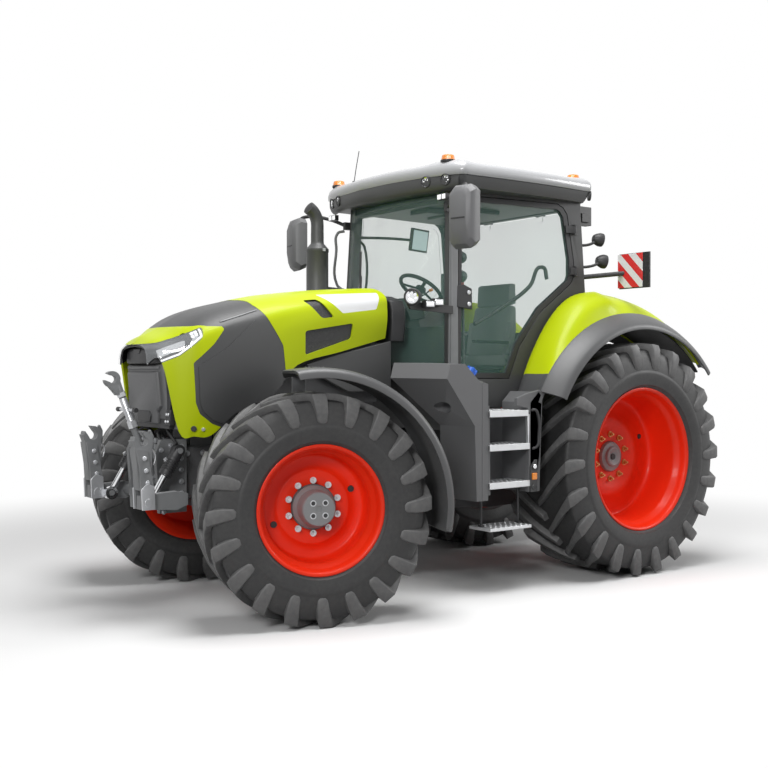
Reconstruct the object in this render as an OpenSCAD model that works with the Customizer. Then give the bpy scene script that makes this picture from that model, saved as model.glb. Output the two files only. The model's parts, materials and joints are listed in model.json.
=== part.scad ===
// Farm tractor with a front linkage, built as separate pieces.
// Lengths in millimetres, +X to the front, +Y to the left, +Z up, ground at z = 0.

/* [Running gear] */
// Distance between the axles
wheelbase = 2980; // [2880:5:3080]
// Outer diameter of a front tyre over its lugs
front_tyre_d = 1519; // [1450:1:1560]
// Width of a front tyre
front_tyre_w = 600; // [540:5:620]
// Outer diameter of a rear tyre over its lugs
rear_tyre_d = 1884; // [1800:1:1950]
// Width of a rear tyre
rear_tyre_w = 710; // [620:5:730]
// Distance from the middle of the tractor to a rear wheel's middle plane
rear_track_half = 940; // [920:5:1000]
// Steering angle as the tractor stands, minus to the right
steer_deg = -18.3; // [-24:0.1:20]

/* [Body] */
// Thickness of the hood's skin
hood_t = 24; // [16:1:30]
// Thickness of the cab's glass
glass_t = 8; // [5:0.5:12]
// Depth of the cab's door frame and posts
post_t = 56; // [44:2:64]
// Radius of the exhaust silencer
silencer_r = 92; // [70:2:100]

/* [Linkage] */
// Length of a folded front lower link between its pin and its hook
front_link_len = 400; // [340:5:420]
// Length of a rear lower link between its pin and its ball end
rear_link_len = 900; // [860:5:960]

/* [Output] */
// Which sub-part to draw

/* [Hidden] */
$fn = 96;
front_r = front_tyre_d / 2;
rear_r = rear_tyre_d / 2;
rear_z = rear_r;
front_z = front_r;
kingpin_y = 840;
front_off = 125;          // wheel's middle plane outboard of the kingpin
front_lug = 47;           // height of a front tyre's lugs
rear_lug = 52;
front_rim_r = 403;
rear_rim_r = 555;
front_rim_w = front_tyre_w - 70;
rear_rim_w = rear_tyre_w - 105;
front_lugs = 20;          // lugs on each side of the tread
rear_lugs = 22;
fender_r = front_r + 160; // outside of a front fender
arch_r = rear_r + 172;    // outside of a rear fender's flare
hood_rear = 1980;
// rear linkage: lower pins, lift shaft
low_pin = [-180, 480, 640];
link_drop = 7;            // slope of the rear lower links
lift_pin = [-200, 300, 1150];
ball_end = [low_pin[0] - rear_link_len * cos(link_drop), 480, low_pin[2] - rear_link_len * sin(link_drop)];
front_pin = [wheelbase + 985, 420, 800];
front_pivot = [wheelbase + 740, 420, 800];
front_most = front_pin[0] + 55 + 42;
rear_most = ball_end[0] - 52;
mid_x = (front_most + rear_most) / 2;
// how far a steered wheel and its fender reach outboard of the kingpin, on side s
fender_prof = [[fender_r - 40, 0], [fender_r - 14, 40], [fender_r, 90], [fender_r, 390], [fender_r - 18, 430], [fender_r - 70, 446],
  [fender_r - 72, 432], [fender_r - 32, 418], [fender_r - 20, 382], [fender_r - 20, 92], [fender_r - 32, 48], [fender_r - 56, 10]];
function reach(prof, off, s, ahead) = max([for (p = prof) max(-s * sin(steer_deg) * p[0], s * sin(steer_deg) * ahead * p[0]) + cos(steer_deg) * (p[1] + off)]);
// outer lugs of a front tyre, all round, as [along, outboard] from the kingpin
lug_spots = [for (i = [0 : front_lugs - 1]) for (ring = lug_rings(front_r, front_tyre_w, front_rim_r, front_lug)) for (p = ring)
  [p[0] * cos(360 / front_lugs * i) - p[2] * sin(360 / front_lugs * i), p[1] + front_off]];
function side_reach(s) = max(reach(fender_prof, 0, s, cos(78)), max([for (p = lug_spots) s * sin(steer_deg) * p[0] + cos(steer_deg) * p[1]]));
mid_y = (side_reach(1) - side_reach(-1)) / 2;

// plain helpers

module box(a, b) translate(a) cube(b - a);
module both() { children(); mirror([0, 1, 0]) children(); }
module side(s) mirror([0, s < 0 ? 1 : 0, 0]) children();
module xz(pts, y0, y1) translate([0, y1, 0]) rotate([90, 0, 0]) linear_extrude(y1 - y0) polygon(pts);
module xy(pts, z0, z1) translate([0, 0, z0]) linear_extrude(z1 - z0) polygon(pts);
module yz(pts, x0, x1) translate([x0, 0, 0]) rotate([90, 0, 90]) linear_extrude(x1 - x0) polygon(pts);
module rod_y(x, z, r, y0, y1) translate([x, y1, z]) rotate([90, 0, 0]) cylinder(r = r, h = y1 - y0);
module bar(p, q, r) {
  d = q - p;
  translate(p) rotate([0, atan2(norm([d[0], d[1]]), d[2]), atan2(d[1], d[0])]) cylinder(r = r, h = norm(d));
}
// turned profile of [radius, offset along +Y] points
module turned_y(pts) rotate([-90, 0, 0]) rotate_extrude($fn = 180) polygon(pts);

function mixed(a, b, t) = a * (1 - t) + b * t;
function at(l, i) = l[max(0, min(len(l) - 1, i))];
function curve(a, b, c, d, t) = 0.5 * (2 * b + (c - a) * t + (2 * a - 5 * b + 4 * c - d) * t * t + (3 * b - a - 3 * c + d) * t * t * t);
function smooth(l, n) = concat([for (i = [0 : len(l) - 2]) for (k = [0 : n - 1])
  curve(at(l, i - 1), l[i], l[i + 1], at(l, i + 2), k / n)], [l[len(l) - 1]]);

// sheet between two grids of points; its outside lies along (step in i) x (step in s)
module skin(outer, inner) {
  m = len(outer); n = len(outer[0]); o = m * n;
  function a(s, i) = s * n + i;
  function b(s, i) = o + s * n + i;
  pts = concat([for (r = outer) for (p = r) p], [for (r = inner) for (p = r) p]);
  faces = concat(
    [for (s = [0 : m - 2]) for (i = [0 : n - 2]) each [[a(s, i), a(s + 1, i), a(s + 1, i + 1)], [a(s, i), a(s + 1, i + 1), a(s, i + 1)],
      [b(s, i), b(s + 1, i + 1), b(s + 1, i)], [b(s, i), b(s, i + 1), b(s + 1, i + 1)]]],
    [for (s = [0 : m - 2]) each [[a(s, 0), b(s, 0), b(s + 1, 0)], [a(s, 0), b(s + 1, 0), a(s + 1, 0)],
      [a(s, n - 1), b(s + 1, n - 1), b(s, n - 1)], [a(s, n - 1), a(s + 1, n - 1), b(s + 1, n - 1)]]],
    [for (i = [0 : n - 2]) each [[a(0, i), a(0, i + 1), b(0, i + 1)], [a(0, i), b(0, i + 1), b(0, i)],
      [a(m - 1, i), b(m - 1, i + 1), a(m - 1, i + 1)], [a(m - 1, i), b(m - 1, i), b(m - 1, i + 1)]]]);
  polyhedron(pts, faces);
}
// solid through closed rings of points, wound so that (step in i) x (step in s) points out
module solid(rings) {
  m = len(rings); n = len(rings[0]);
  pts = [for (r = rings) for (p = r) p];
  faces = concat(
    [for (s = [0 : m - 2]) for (i = [0 : n - 1]) let (j = (i + 1) % n)
      each [[s * n + i, (s + 1) * n + i, (s + 1) * n + j], [s * n + i, (s + 1) * n + j, s * n + j]]],
    [[for (i = [0 : n - 1]) i], [for (i = [n - 1 : -1 : 0]) (m - 1) * n + i]]);
  polyhedron(pts, faces);
}

// wheels

// frame of a steered front wheel: origin in the kingpin at wheel height, +Y outboard
module steered(s) translate([wheelbase, s * kingpin_y, front_z]) rotate([0, 0, steer_deg]) side(s) children();
module rear_hub(s) translate([0, s * rear_track_half, rear_z]) side(s) children();

// carcass of a tyre, r over its lugs
function tyre_outer(r, w, rim_r, rim_w, lug) = let (h = r - lug - rim_r, c = w / 2) [[rim_r + 1, rim_w / 2 - 16], [rim_r + 26, rim_w / 2 - 3],
  [rim_r + 0.15 * h, c * 0.93], [rim_r + 0.27 * h, c * 0.972], [rim_r + 0.42 * h, c * 0.98], [rim_r + 0.61 * h, c * 0.96],
  [rim_r + 0.8 * h, c * 0.925], [rim_r + 0.95 * h, c * 0.88], [r - lug, c * 0.78]];
// lug from the wall to the tread's middle: radius and offset of its foot, then of its crest, half width, how far it leads
function lug_line(r, w, rim_r, lug) = let (h = r - lug - rim_r, c = w / 2) [
  [rim_r + 0.52 * h, c * 0.93, rim_r + 0.54 * h, c * 0.996, 34, 0], [r - lug - 30, c * 0.82, r - 9, c * 0.955, 52, 20],
  [r - lug - 16, c * 0.5, r, c * 0.5, 34, 150], [r - lug - 16, c * -0.03, r, c * -0.01, 28, 312]];
function lug_ring(q, r) = [for (k = [[0, 1], [0, -1], [1, -1], [1, 1]]) let (t = k[0], a = (k[1] * q[4] * (1 - 0.2 * t) - q[5]) / (0.93 * r) * 180 / PI)
  [q[2 * t] * cos(a), q[2 * t + 1], q[2 * t] * sin(a)]];
function lug_rings(r, w, rim_r, lug) = [for (q = lug_line(r, w, rim_r, lug)) lug_ring(q, r)];
module tyre(r, w, rim_r, rim_w, lug, n) {
  h = r - rim_r;
  c = w / 2;
  outer = tyre_outer(r, w, rim_r, rim_w, lug);
  inner = [[rim_r + 1, rim_w / 2 - 62], [rim_r + 40, rim_w / 2 - 50], [rim_r + 0.4 * h, c * 0.86], [r - 120, c * 0.80], [r - 105, c * 0.4]];
  m = len(outer); k = len(inner);
  turned_y(concat(outer, [for (i = [m - 1 : -1 : 0]) [outer[i][0], -outer[i][1]]],
    [for (i = [0 : k - 1]) [inner[i][0], -inner[i][1]]], [for (i = [k - 1 : -1 : 0]) inner[i]]));
  for (i = [0 : n - 1]) rotate([0, -360 / n * i, 0]) {
    solid(lug_rings(r, w, rim_r, lug));
    rotate([0, -180 / n, 0]) mirror([0, 1, 0]) solid(lug_rings(r, w, rim_r, lug));
  }
}
// rim: flange radius, width, place of its disc along +Y and the disc's inner radius
module rim(r, w, disc, hole_r) {
  t = 12;
  e = w / 2;
  turned_y([[r + 1, e - 16], [r + 24, e - 3], [r + 24, e + 6], [r + 10, e + 6], [r - 8, e - 6], [r - 16, e - 60], [r - 46, e - 110],
    [r - 46, disc + 60], [r - 70, disc + 22], [hole_r, disc + 22], [hole_r, disc], [r - 84, disc], [r - 60, disc - 40], [r - 60, -e + 110], [r - 30, -e + 60], [r - 8, -e + 6],
    [r + 10, -e - 6], [r + 24, -e - 6], [r + 24, -e + 3], [r + 1, -e + 16], [r - 4, -e + 62], [r - 34, -e + 112], [r - 34, e - 112], [r - 4, e - 62]]);
}
module ring_of(n, r) for (i = [0 : n - 1]) rotate([0, (i + 0.5) * 360 / n, 0]) translate([r, 0, 0]) children();
module stud(r, h) rotate([-90, 0, 0]) cylinder(r = r, h = h, $fn = 6);

front_disc = 70;
rear_disc = -80;
module front_rim(s) color([0.86, 0.16, 0.06]) steered(s) translate([0, front_off, 0]) {
  difference() {
    rim(front_rim_r, front_rim_w, front_disc, 60);
    ring_of(6, 292) rotate([-90, 0, 0]) translate([0, 0, front_disc - 20]) cylinder(r = 22, h = 80);
  }
  turned_y([[0, front_disc + 22], [112, front_disc + 22], [112, front_disc + 128], [104, front_disc + 138], [60, front_disc + 138], [56, front_disc + 132], [0, front_disc + 132]]);
  ring_of(10, 168) translate([0, front_disc + 22, 0]) stud(15, 34);
}
module rear_rim(s) color([0.86, 0.16, 0.06]) rear_hub(s) {
  difference() {
    rim(rear_rim_r, rear_rim_w, rear_disc, 60);
    ring_of(6, 400) rotate([-90, 0, 0]) translate([0, 0, rear_disc - 20]) cylinder(r = 26, h = 80);
  }
  turned_y([[0, rear_disc + 22], [126, rear_disc + 22], [120, rear_disc + 46], [78, rear_disc + 52], [70, rear_disc + 76], [0, rear_disc + 76]]);
  ring_of(10, 190) translate([0, rear_disc + 22, 0]) stud(16, 36);
}
module front_tyre(s) color([0.16, 0.17, 0.18]) steered(s) translate([0, front_off, 0]) tyre(front_r, front_tyre_w, front_rim_r, front_rim_w, front_lug, front_lugs);
module rear_tyre(s) color([0.16, 0.17, 0.18]) rear_hub(s) tyre(rear_r, rear_tyre_w, rear_rim_r, rear_rim_w, rear_lug, rear_lugs);

// driveline

module front_frame() color([0.2, 0.21, 0.22]) {
  both() xz([[1900, 900], [2300, 890], [wheelbase - 300, 890], [wheelbase - 240, front_z + 170.5], [wheelbase + 240, front_z + 170.5], [wheelbase + 300, 820],
    [wheelbase + 590, 780], [wheelbase + 590, 1130], [2300, 1130], [1900, 1040]], 140, 190);
  box([wheelbase + 300, -140, 820], [wheelbase + 560, 140, 1130]);
  box([wheelbase - 190, -140, front_z + 200.5], [wheelbase + 190, 140, 1130]);
}
module engine_block() color([0.26, 0.27, 0.28]) {
  xz([[1900, 1040], [wheelbase - 600, 900], [wheelbase - 200, 1130], [wheelbase + 300, 1130], [wheelbase + 300, 1880], [2700, 1980], [1900, 1980]], -139, 139);
  both() xz([[1980, 1420], [wheelbase + 60, 1420], [wheelbase + 60, 1830], [2000, 1900]], 139, 290);
  box([wheelbase + 330, -300, 1280], [wheelbase + 520, 300, 1820]);
  box([wheelbase + 300, -139, 1130], [wheelbase + 330, 139, 1820]);
  // hood's hinge stand
  both() {
    box([1995, 165, 1890], [2045, 180, 2250]);
    rod_y(hood_pin[0], hood_pin[1], 10, 165, 235);
  }
  box([wheelbase + 340, -135, 1130], [wheelbase + 510, 135, 1280]);
}
module transmission() color([0.24, 0.25, 0.26]) {
  difference() {
    xz([[-330, 520], [-330, 1230], [100, 1230], [140, 1180], [1500, 1180], [1900, 1040], [1900, 900], [1700, 560], [700, 500], [100, 520]], -190, 190);
    rod_y(lift_pin[0], lift_pin[2], 46, -200, 200);
  }
  both() translate([0, 190, rear_z]) rotate([-90, 0, 0])
    rotate_extrude($fn = 120) polygon([[0, -20], [215, -20], [215, 40], [165, 70], [140, 300], [150, 340], [175, 345], [175, 390],
      [120, 392], [120, rear_track_half + rear_disc - 190.5], [0, rear_track_half + rear_disc - 190.5]]);
}
module front_axle() color([0.24, 0.25, 0.26]) {
  both() xz([[wheelbase - 85, front_z - 95], [wheelbase + 85, front_z - 95], [wheelbase + 85, front_z + 95], [wheelbase - 85, front_z + 95]], 0, kingpin_y - 175);
  rod_y(wheelbase, front_z, 104, -135, 135);
  box([wheelbase - 110, -110, front_z + 60], [wheelbase + 110, 110, front_z + 200.5]);
  both() {
    for (z = [front_z - 165, front_z + 115]) difference() {
      xz([[wheelbase - 60, z], [wheelbase + 60, z], [wheelbase + 60, z + 50], [wheelbase - 60, z + 50]], kingpin_y - 260, kingpin_y + 45);
      translate([wheelbase, kingpin_y, z - 5]) cylinder(r = 36.5, h = 60);
    }
    xz([[wheelbase - 80, front_z - 165], [wheelbase + 80, front_z - 165], [wheelbase + 80, front_z + 165], [wheelbase - 80, front_z + 165]], kingpin_y - 260, kingpin_y - 190);
  }
}
module knuckle(s) color([0.24, 0.25, 0.26]) steered(s) {
  translate([0, 0, -105]) cylinder(r = 100, h = 210);
  translate([0, 0, -172]) cylinder(r = 36, h = 344);
  turned_y([[0, 40], [105, 40], [105, 80], [170, 100], [170, 150], [150, 165], [150, front_off + front_disc - 0.5], [0, front_off + front_disc - 0.5]]);
  // arm for the tie rod, behind the axle
  difference() {
    box([-220, -40, -25], [-60, 40, 25]);
    translate([-180, 0, -30]) cylinder(r = 16.5, h = 60);
  }
}
tie_pin = [for (s = [1, -1]) [wheelbase - 180 * cos(steer_deg), s * kingpin_y - 180 * sin(steer_deg), front_z]];
module tie_rod() color([0.5, 0.51, 0.52]) {
  for (p = tie_pin) translate([p[0], p[1], front_z - 75]) {
    cylinder(r = 34, h = 45);
    cylinder(r = 16, h = 105);
  }
  bar(tie_pin[1] - [0, 0, 52], tie_pin[0] - [0, 0, 52], 20);
}

// fenders

module front_fender(s) color([0.19, 0.195, 0.2]) steered(s) {
  rotate([-90, 0, 0]) rotate([0, 0, 168]) rotate_extrude(angle = 114, $fn = 200) polygon(fender_prof);
  // stay from the top of the kingpin, up past the tyre's inner side
  box([-50, -225, 172], [50, 45, 197]);
  box([-50, -225, 172], [50, -200, fender_r - 32]);
  box([-60, -225, fender_r - 55], [60, 340, fender_r - 32]);
  box([-60, 100, fender_r - 40], [60, 340, fender_r - 10]);
}
// rear fender: angle about the axle, radius of its crown, from the front foot to the rear tip
fender_line = [[24, 1104], [36, 1135], [50, 1222], [62, 1330], [71, 1398], [80, 1392], [92, 1330], [106, 1240], [122, 1160], [138, 1104]];
function polar(phi, r, y) = [r * cos(phi), y, rear_z + r * sin(phi)];
function cab_y(phi, r) = phi > 83 ? 700 : 718 + tan(7.5) * (1573 - r * cos(phi)) - tan(2.34) * (rear_z + r * sin(phi) - 1600);
function fender_row(p, dr, dy) = let (f = min(p[1] - 110, arch_r - 40) - dr * 0.2, i = cab_y(p[0], p[1] - 60), w = 1150 - i) [
  polar(p[0], f, cab_y(p[0], f) + dy), polar(p[0], p[1] - 40 - dr * 0.6, i + dy), polar(p[0], p[1] - dr, i + 0.16 * w + dy * 0.3),
  polar(p[0], mixed(arch_r, p[1], 0.72) - dr, i + 0.46 * w - dy * 0.2), polar(p[0], mixed(arch_r, p[1], 0.28) - dr, i + 0.75 * w - dy * 0.3),
  polar(p[0], arch_r - 4 - dr, 1118), polar(p[0], arch_r - 28 - dr, 1150)];
fender_rows = smooth(fender_line, 2);
module rear_fenders() color([0.62, 0.74, 0.02]) both()
  skin([for (p = fender_rows) fender_row(p, 0, 0)], [for (p = fender_rows) fender_row(p, 24, 22)]);
module fender_flares() color([0.2, 0.205, 0.21]) both() translate([0, 0, rear_z]) rotate([-90, 0, 0]) rotate([0, 0, -140])
  rotate_extrude(angle = 118, $fn = 200) polygon([[arch_r - 26, 1150], [arch_r - 2, 1160], [arch_r, 1240], [arch_r - 14, 1272], [arch_r - 56, 1286],
    [arch_r - 60, 1274], [arch_r - 30, 1258], [arch_r - 20, 1232], [arch_r - 24, 1180], [arch_r - 52, 1150]]);

// hood

// station from the rear, then half outline from the lower edge to the crown as [y, z]
hood_line = [
  [0.000, [[400, 1905], [425, 2030], [425, 2130], [400, 2225], [250, 2290], [0, 2305]]],
  [0.223, [[425, 1800], [440, 1960], [440, 2090], [405, 2190], [250, 2258], [0, 2275]]],
  [0.436, [[450, 1700], [460, 1860], [458, 2020], [415, 2130], [260, 2205], [0, 2228]]],
  [0.543, [[460, 1500], [470, 1760], [465, 1960], [425, 2085], [270, 2170], [0, 2196]]],
  [0.702, [[446, 1368], [475, 1640], [470, 1900], [430, 2015], [275, 2105], [0, 2130]]],
  [0.798, [[436, 1222], [465, 1560], [462, 1850], [425, 1960], [275, 2045], [0, 2072]]],
  [0.862, [[418, 1216], [440, 1500], [440, 1790], [405, 1900], [265, 1975], [0, 2008]]],
  [0.915, [[385, 1250], [390, 1480], [376, 1750], [352, 1830], [240, 1905], [0, 1945]]],
  [0.968, [[330, 1742], [322, 1768], [304, 1792], [282, 1818], [190, 1865], [0, 1895]]],
  [1.000, [[200, 1800], [196, 1812], [186, 1822], [170, 1832], [110, 1845], [0, 1852]]]];
hood_front = wheelbase + 880;
function hx(u) = mixed(hood_rear, hood_front, u);
function half(p, x) = [for (q = p) [x, q[0], q[1]]];
function inset(p, x) = [for (i = [0 : 5]) [x, max(0, p[i][0] - hood_t * [1, 1, 1, 0.9, 0.3, 0][i]), p[i][1] - hood_t * [0, 0, 0.1, 0.7, 1, 1][i]]];
function whole(h) = concat(h, [for (i = [len(h) - 2 : -1 : 0]) [h[i][0], -h[i][1], h[i][2]]]);
hood_outer = smooth([for (p = hood_line) whole(smooth(half(p[1], hx(p[0])), 2))], 2);
hood_inner = smooth([for (p = hood_line) whole(smooth(inset(p[1], hx(p[0])), 2))], 2);
module hood_form() skin(hood_outer, hood_inner);

dark_side = [[3440, 2010], [3395, 1940], [3475, 1838], [3615, 1710], [3600, 1443], [3570, 1367], [3480, 1298], [3400, 1270], [3300, 1250], [2880, 1470], [2930, 1836], [3110, 2120], [3300, 2120]];
dark_top = [[3110, 470], [3440, 470], [3580, 345], [3690, 200], [3712, 0], [3690, -200], [3580, -345], [3440, -470], [3110, -470]];
white_side = [[2570, 2216], [2030, 2252], [2085, 2120], [2400, 2080]];
vent_up = [[2720, 2167], [2600, 2178], [2480, 2050], [2590, 2038]];
vent_low = [[2740, 1943], [2305, 2010], [2320, 1895], [2735, 1770]];
lamp_side = [[3535, 1957], [3548, 1882], [3690, 1755], [3870, 1690], [3900, 1808], [3800, 1828], [3700, 1870]];
front_dx = wheelbase - 2980;
module on_sides(pts) translate([front_dx, 0, 0]) both() xz(pts, 150, 600);
module dark_region() {
  on_sides(dark_side);
  translate([front_dx, 0, 0]) xy(dark_top, 1960, 2300);
}
module lamp_region() translate([front_dx, 0, 0]) xz(lamp_side, -600, 600);
module vent_region() { on_sides(vent_up); on_sides(vent_low); }
module white_region() on_sides(white_side);
hood_pin = [2020, 2230];
module hood_shell() color([0.66, 0.78, 0.02]) {
  difference() {
    hood_form();
    dark_region(); lamp_region(); vent_region(); white_region();
  }
  both() difference() {
    box([2000, 190, 2210], [2040, 230, 2276]);
    rod_y(hood_pin[0], hood_pin[1], 10.4, 180, 240);
  }
}
module hood_dark() color([0.22, 0.225, 0.23]) intersection() { hood_form(); difference() { dark_region(); lamp_region(); } }
module hood_panels() color([0.9, 0.9, 0.9]) intersection() { hood_form(); white_region(); }
module headlamps() color([0.8, 0.84, 0.88]) intersection() { hood_form(); lamp_region(); }
module grilles() color([0.2, 0.205, 0.21]) {
  fx = hx(0.915);
  intersection() { hood_form(); vent_region(); }
  intersection() {
    solid(hood_inner);
    yz([[-420, 1262], [420, 1262], [420, 1742], [-420, 1742]], fx - 60, fx);
  }
  yz([[-296, 1272], [296, 1272], [286, 1708], [-286, 1708]], fx, fx + 56);
  yz([[-250, 1290], [250, 1290], [236, 1660], [-236, 1660]], fx + 56, fx + 84);
  xy([[fx - 60, -326], [fx + 60, -306], [fx + 100, -256], [fx + 132, -150], [fx + 144, 0], [fx + 132, 150], [fx + 100, 256], [fx + 60, 306], [fx - 60, 326]], 1708, 1786);
  xy([[fx + 60, -150], [fx + 112, -140], [fx + 130, 0], [fx + 112, 140], [fx + 60, 150]], 1786, 1824);
}
module hood_shields() color([0.2, 0.205, 0.21]) both() {
  xz([[1930, 1885], [2400, 1785], [2700, 1705], [2640, 1640], [2330, 1500], [1930, 1500]], 392, 412);
  box([1930, 290, 1520], [2060, 392, 1560]);
}

// cab

// frame of the cab's left side: origin at the foot of the front post, -X to the rear, +Z up along the post
module cab_side() translate([1573, 708, 1600]) rotate([0, 0, -7.5]) rotate([2.34, 0, 0]) children();
door_edge = [[-52, 0], [-530, 0], [-640, 257], [-860, 535], [-1170, 770], [-1203, 830], [-1205, 956], [-1150, 1330], [-1110, 1385], [-1050, 1412], [-104, 1412]];
door_hole = [[-80, 40], [-505, 40], [-606, 275], [-838, 566], [-1140, 796], [-1162, 850], [-1164, 956], [-1112, 1312], [-1080, 1354], [-1040, 1372], [-131, 1372]];
door_gap = [[-46, -6], [-534, -6], [-645, 253], [-864, 530], [-1175, 766], [-1209, 828], [-1211, 957], [-1156, 1333], [-1114, 1390], [-1052, 1418], [-98, 1418]];
door_pin = [-1216, 18];
hinge_z = [840, 1180];
module cab_posts() {
  difference() {
    both() cab_side() difference() {
      xz([[46, -230], [46, 0], [-10, 1450], [-1290, 1450], [-1320, 700], [-1320, 560], [-1100, 380], [-860, 200], [-700, -60], [-640, -230]], -post_t, 0);
      xz(door_gap, -100, 50);
    }
    box([0, -1000, 3036], [2000, 1000, 3200]);
  }
  both() box([262, 700, 2000], [330, 800, 3036]);
}
module cab_frame() color([0.22, 0.225, 0.23]) {
  cab_posts();
  yz([[-620, 2960], [620, 2960], [620, 3036], [-620, 3036]], 1490, 1530);
  yz([[-760, 2985], [760, 2985], [760, 3036], [-760, 3036]], 268, 330);
  both() {
    for (y = [284, 366]) box([238, y, 2980], [268, y + 10, 3008]);
    rod_y(window_pin[0], window_pin[1], 8, 284, 376);
  }
  cab_side() for (z = hinge_z) {
    for (d = [-12, 62]) box([door_pin[0] - 14, 0, z + d], [door_pin[0] + 14, door_pin[1] + 12, z + d + 10]);
    translate([door_pin[0], door_pin[1], z - 12]) cylinder(r = 7, h = 84);
  }
}
// cut to the inside of the cab's two sides
module inside_cab() difference() {
  children();
  both() cab_side() box([-3000, -post_t, -1500], [1000, 1200, 3000]);
}
wheel_box_y = rear_track_half - rear_tyre_w / 2 - 10;
module cab_base() color([0.2, 0.205, 0.21]) {
  inside_cab() {
    box([940, -800, 1370], [1570, 800, 1410]);
    box([1570, -800, 1200], [1600, 800, 2000]);
  }
  box([300, -wheel_box_y, 1370], [941, wheel_box_y, 1410]);
  box([262, -wheel_box_y, 1370], [300, wheel_box_y, 1990]);
  both() xz([[300, 1400], [941, 1400], [941, 1500], [840, 1700], [640, 1900], [300, 1990]], wheel_box_y - 25, wheel_box_y);
  xy(concat([[1600, 634]], [for (p = arc_row(1612, 634, 130, 0, 12)) [p[0], p[1]]], [[1600, -634]]), 1640, 1698);
  both() for (x = [320, 1320]) box([x, 90, 1180], [x + 120, 180, 1370]);
}
function arc_row(xa, ya, bulge, z, n) = [for (i = [0 : n]) let (t = 1 - 2 * i / n) [xa + bulge * (1 - t * t), ya * t, z]];
module side_glass() cab_side() xz(door_hole, -24, -24 + glass_t);
// windscreen between the front posts, and the fixed window on the right
module cab_glass() color([0.55, 0.7, 0.68, 0.35]) {
  rows = [[1570, 608, 108, 3036], [1608, 655, 125, 2000], [1622, 668, 130, 1700]];
  skin([for (q = rows) arc_row(q[0], q[1], q[2], q[3], 12)], [for (q = rows) arc_row(q[0] - glass_t, q[1] - 2, q[2], q[3], 12)]);
  mirror([0, 1, 0]) {
    side_glass();
    cab_side() difference() { xz(door_gap, -40, -6); xz(door_hole, -60, 20); }
  }
}
module door_frame() color([0.12, 0.12, 0.125]) {
  cab_side() difference() { xz(door_edge, -44, -2); xz(door_hole, -60, 20); }
  cab_side() box([-160, -60, 560], [-84, -25, 660]);
  cab_side() for (z = hinge_z) difference() {
    union() {
      translate([door_pin[0], door_pin[1], z]) cylinder(r = 12, h = 60);
      box([door_pin[0], 12, z], [z < 1000 ? -1160 : -1120, 22, z + 60]);
      box([z < 1000 ? -1190 : -1150, -4, z], [z < 1000 ? -1160 : -1120, 22, z + 60]);
    }
    translate([door_pin[0], door_pin[1], z - 5]) cylinder(r = 7.4, h = 70);
  }
}
module door_glass() color([0.55, 0.7, 0.68, 0.35]) side_glass();
window_pin = [250, 2992];
module rear_window() color([0.55, 0.7, 0.68, 0.35]) {
  yz([[-692, 2002], [692, 2002], [692, 2976], [-692, 2976]], 268, 268 + glass_t);
  both() difference() {
    union() {
      box([250, 300, 2930], [268, 360, 2980]);
      rod_y(window_pin[0], window_pin[1], 14, 300, 360);
    }
    rod_y(window_pin[0], window_pin[1], 8.4, 290, 370);
  }
}
roof_plan = [[1640, 870], [1735, 600], [1790, 260], [1800, 0], [1790, -260], [1735, -600], [1640, -870], [1500, -905], [900, -925], [350, -900], [215, -840], [185, -400], [180, 0], [185, 400], [215, 840], [350, 900], [900, 925], [1500, 905]];
roof_mid = [950, 0];
function ring(f, dx, z) = [for (p = roof_plan) let (q = roof_mid + f * (p - roof_mid)) [q[0] + dx, q[1], z]];
module roof_form() solid([ring(0.86, 0, 3246), ring(0.95, 0, 3226), ring(1, 0, 3166)]);
module roof_top() color([0.86, 0.87, 0.88]) roof_form();
function visor(dx, f, z) = [for (i = [0 : 6]) [roof_plan[i][0] - dx, roof_plan[i][1] * f, z]];
module roof_band() color([0.22, 0.225, 0.23]) {
  solid([ring(1, 0, 3166), ring(0.99, 0, 3110), ring(0.95, 0, 3036)]);
  skin([visor(4, 0.985, 3100), visor(8, 0.98, 3040), visor(24, 0.96, 2985)], [visor(44, 0.95, 3100), visor(44, 0.945, 3040), visor(50, 0.94, 2985)]);
}
module beacons() difference() {
  union() {
    color([0.95, 0.5, 0.05]) for (p = [[1630, 725], [1630, -725], [245, 700], [245, -700]]) translate([p[0], p[1], 3170])
      rotate_extrude() polygon([[0, 0], [50, 0], [50, 62], [56, 64], [54, 108], [40, 118], [0, 120]]);
    // aerial
    color([0.12, 0.12, 0.125]) bar([1706, -395, 3200], [1678, -358, 3490], 4);
  }
  roof_form();
}
module seat() color([0.35, 0.37, 0.37]) {
  box([640, -200, 1410], [1000, 200, 1650]);
  xz([[560, 1700], [600, 1640], [1120, 1650], [1150, 1690], [1120, 1770], [620, 1760]], -270, 270);
  xz([[540, 1700], [620, 1760], [520, 2280], [480, 2420], [420, 2420], [400, 2300], [480, 1700]], -250, 250);
  box([680, -420, 1800], [1120, -300, 1880]);
  box([680, -400, 1640], [760, -270, 1800]);
}
module console() color([0.16, 0.165, 0.17]) {
  xz([[1390, 1410], [1570, 1410], [1570, 1990], [1560, 2060], [1540, 2200], [1420, 2150], [1380, 1800]], -150, 150);
  bar([1400, 0, 2100], [1330, 0, 2200], 38);
  translate([1322, 0, 2212]) rotate([0, -35, 0]) {
    rotate_extrude() translate([185, 0]) circle(r = 16, $fn = 24);
    for (a = [60, 180, 300]) rotate([0, 0, a]) translate([0, -14, -8]) cube([185, 28, 14]);
    translate([0, 0, -14]) cylinder(r = 48, h = 30);
  }
}
// outside of the cab

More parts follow.
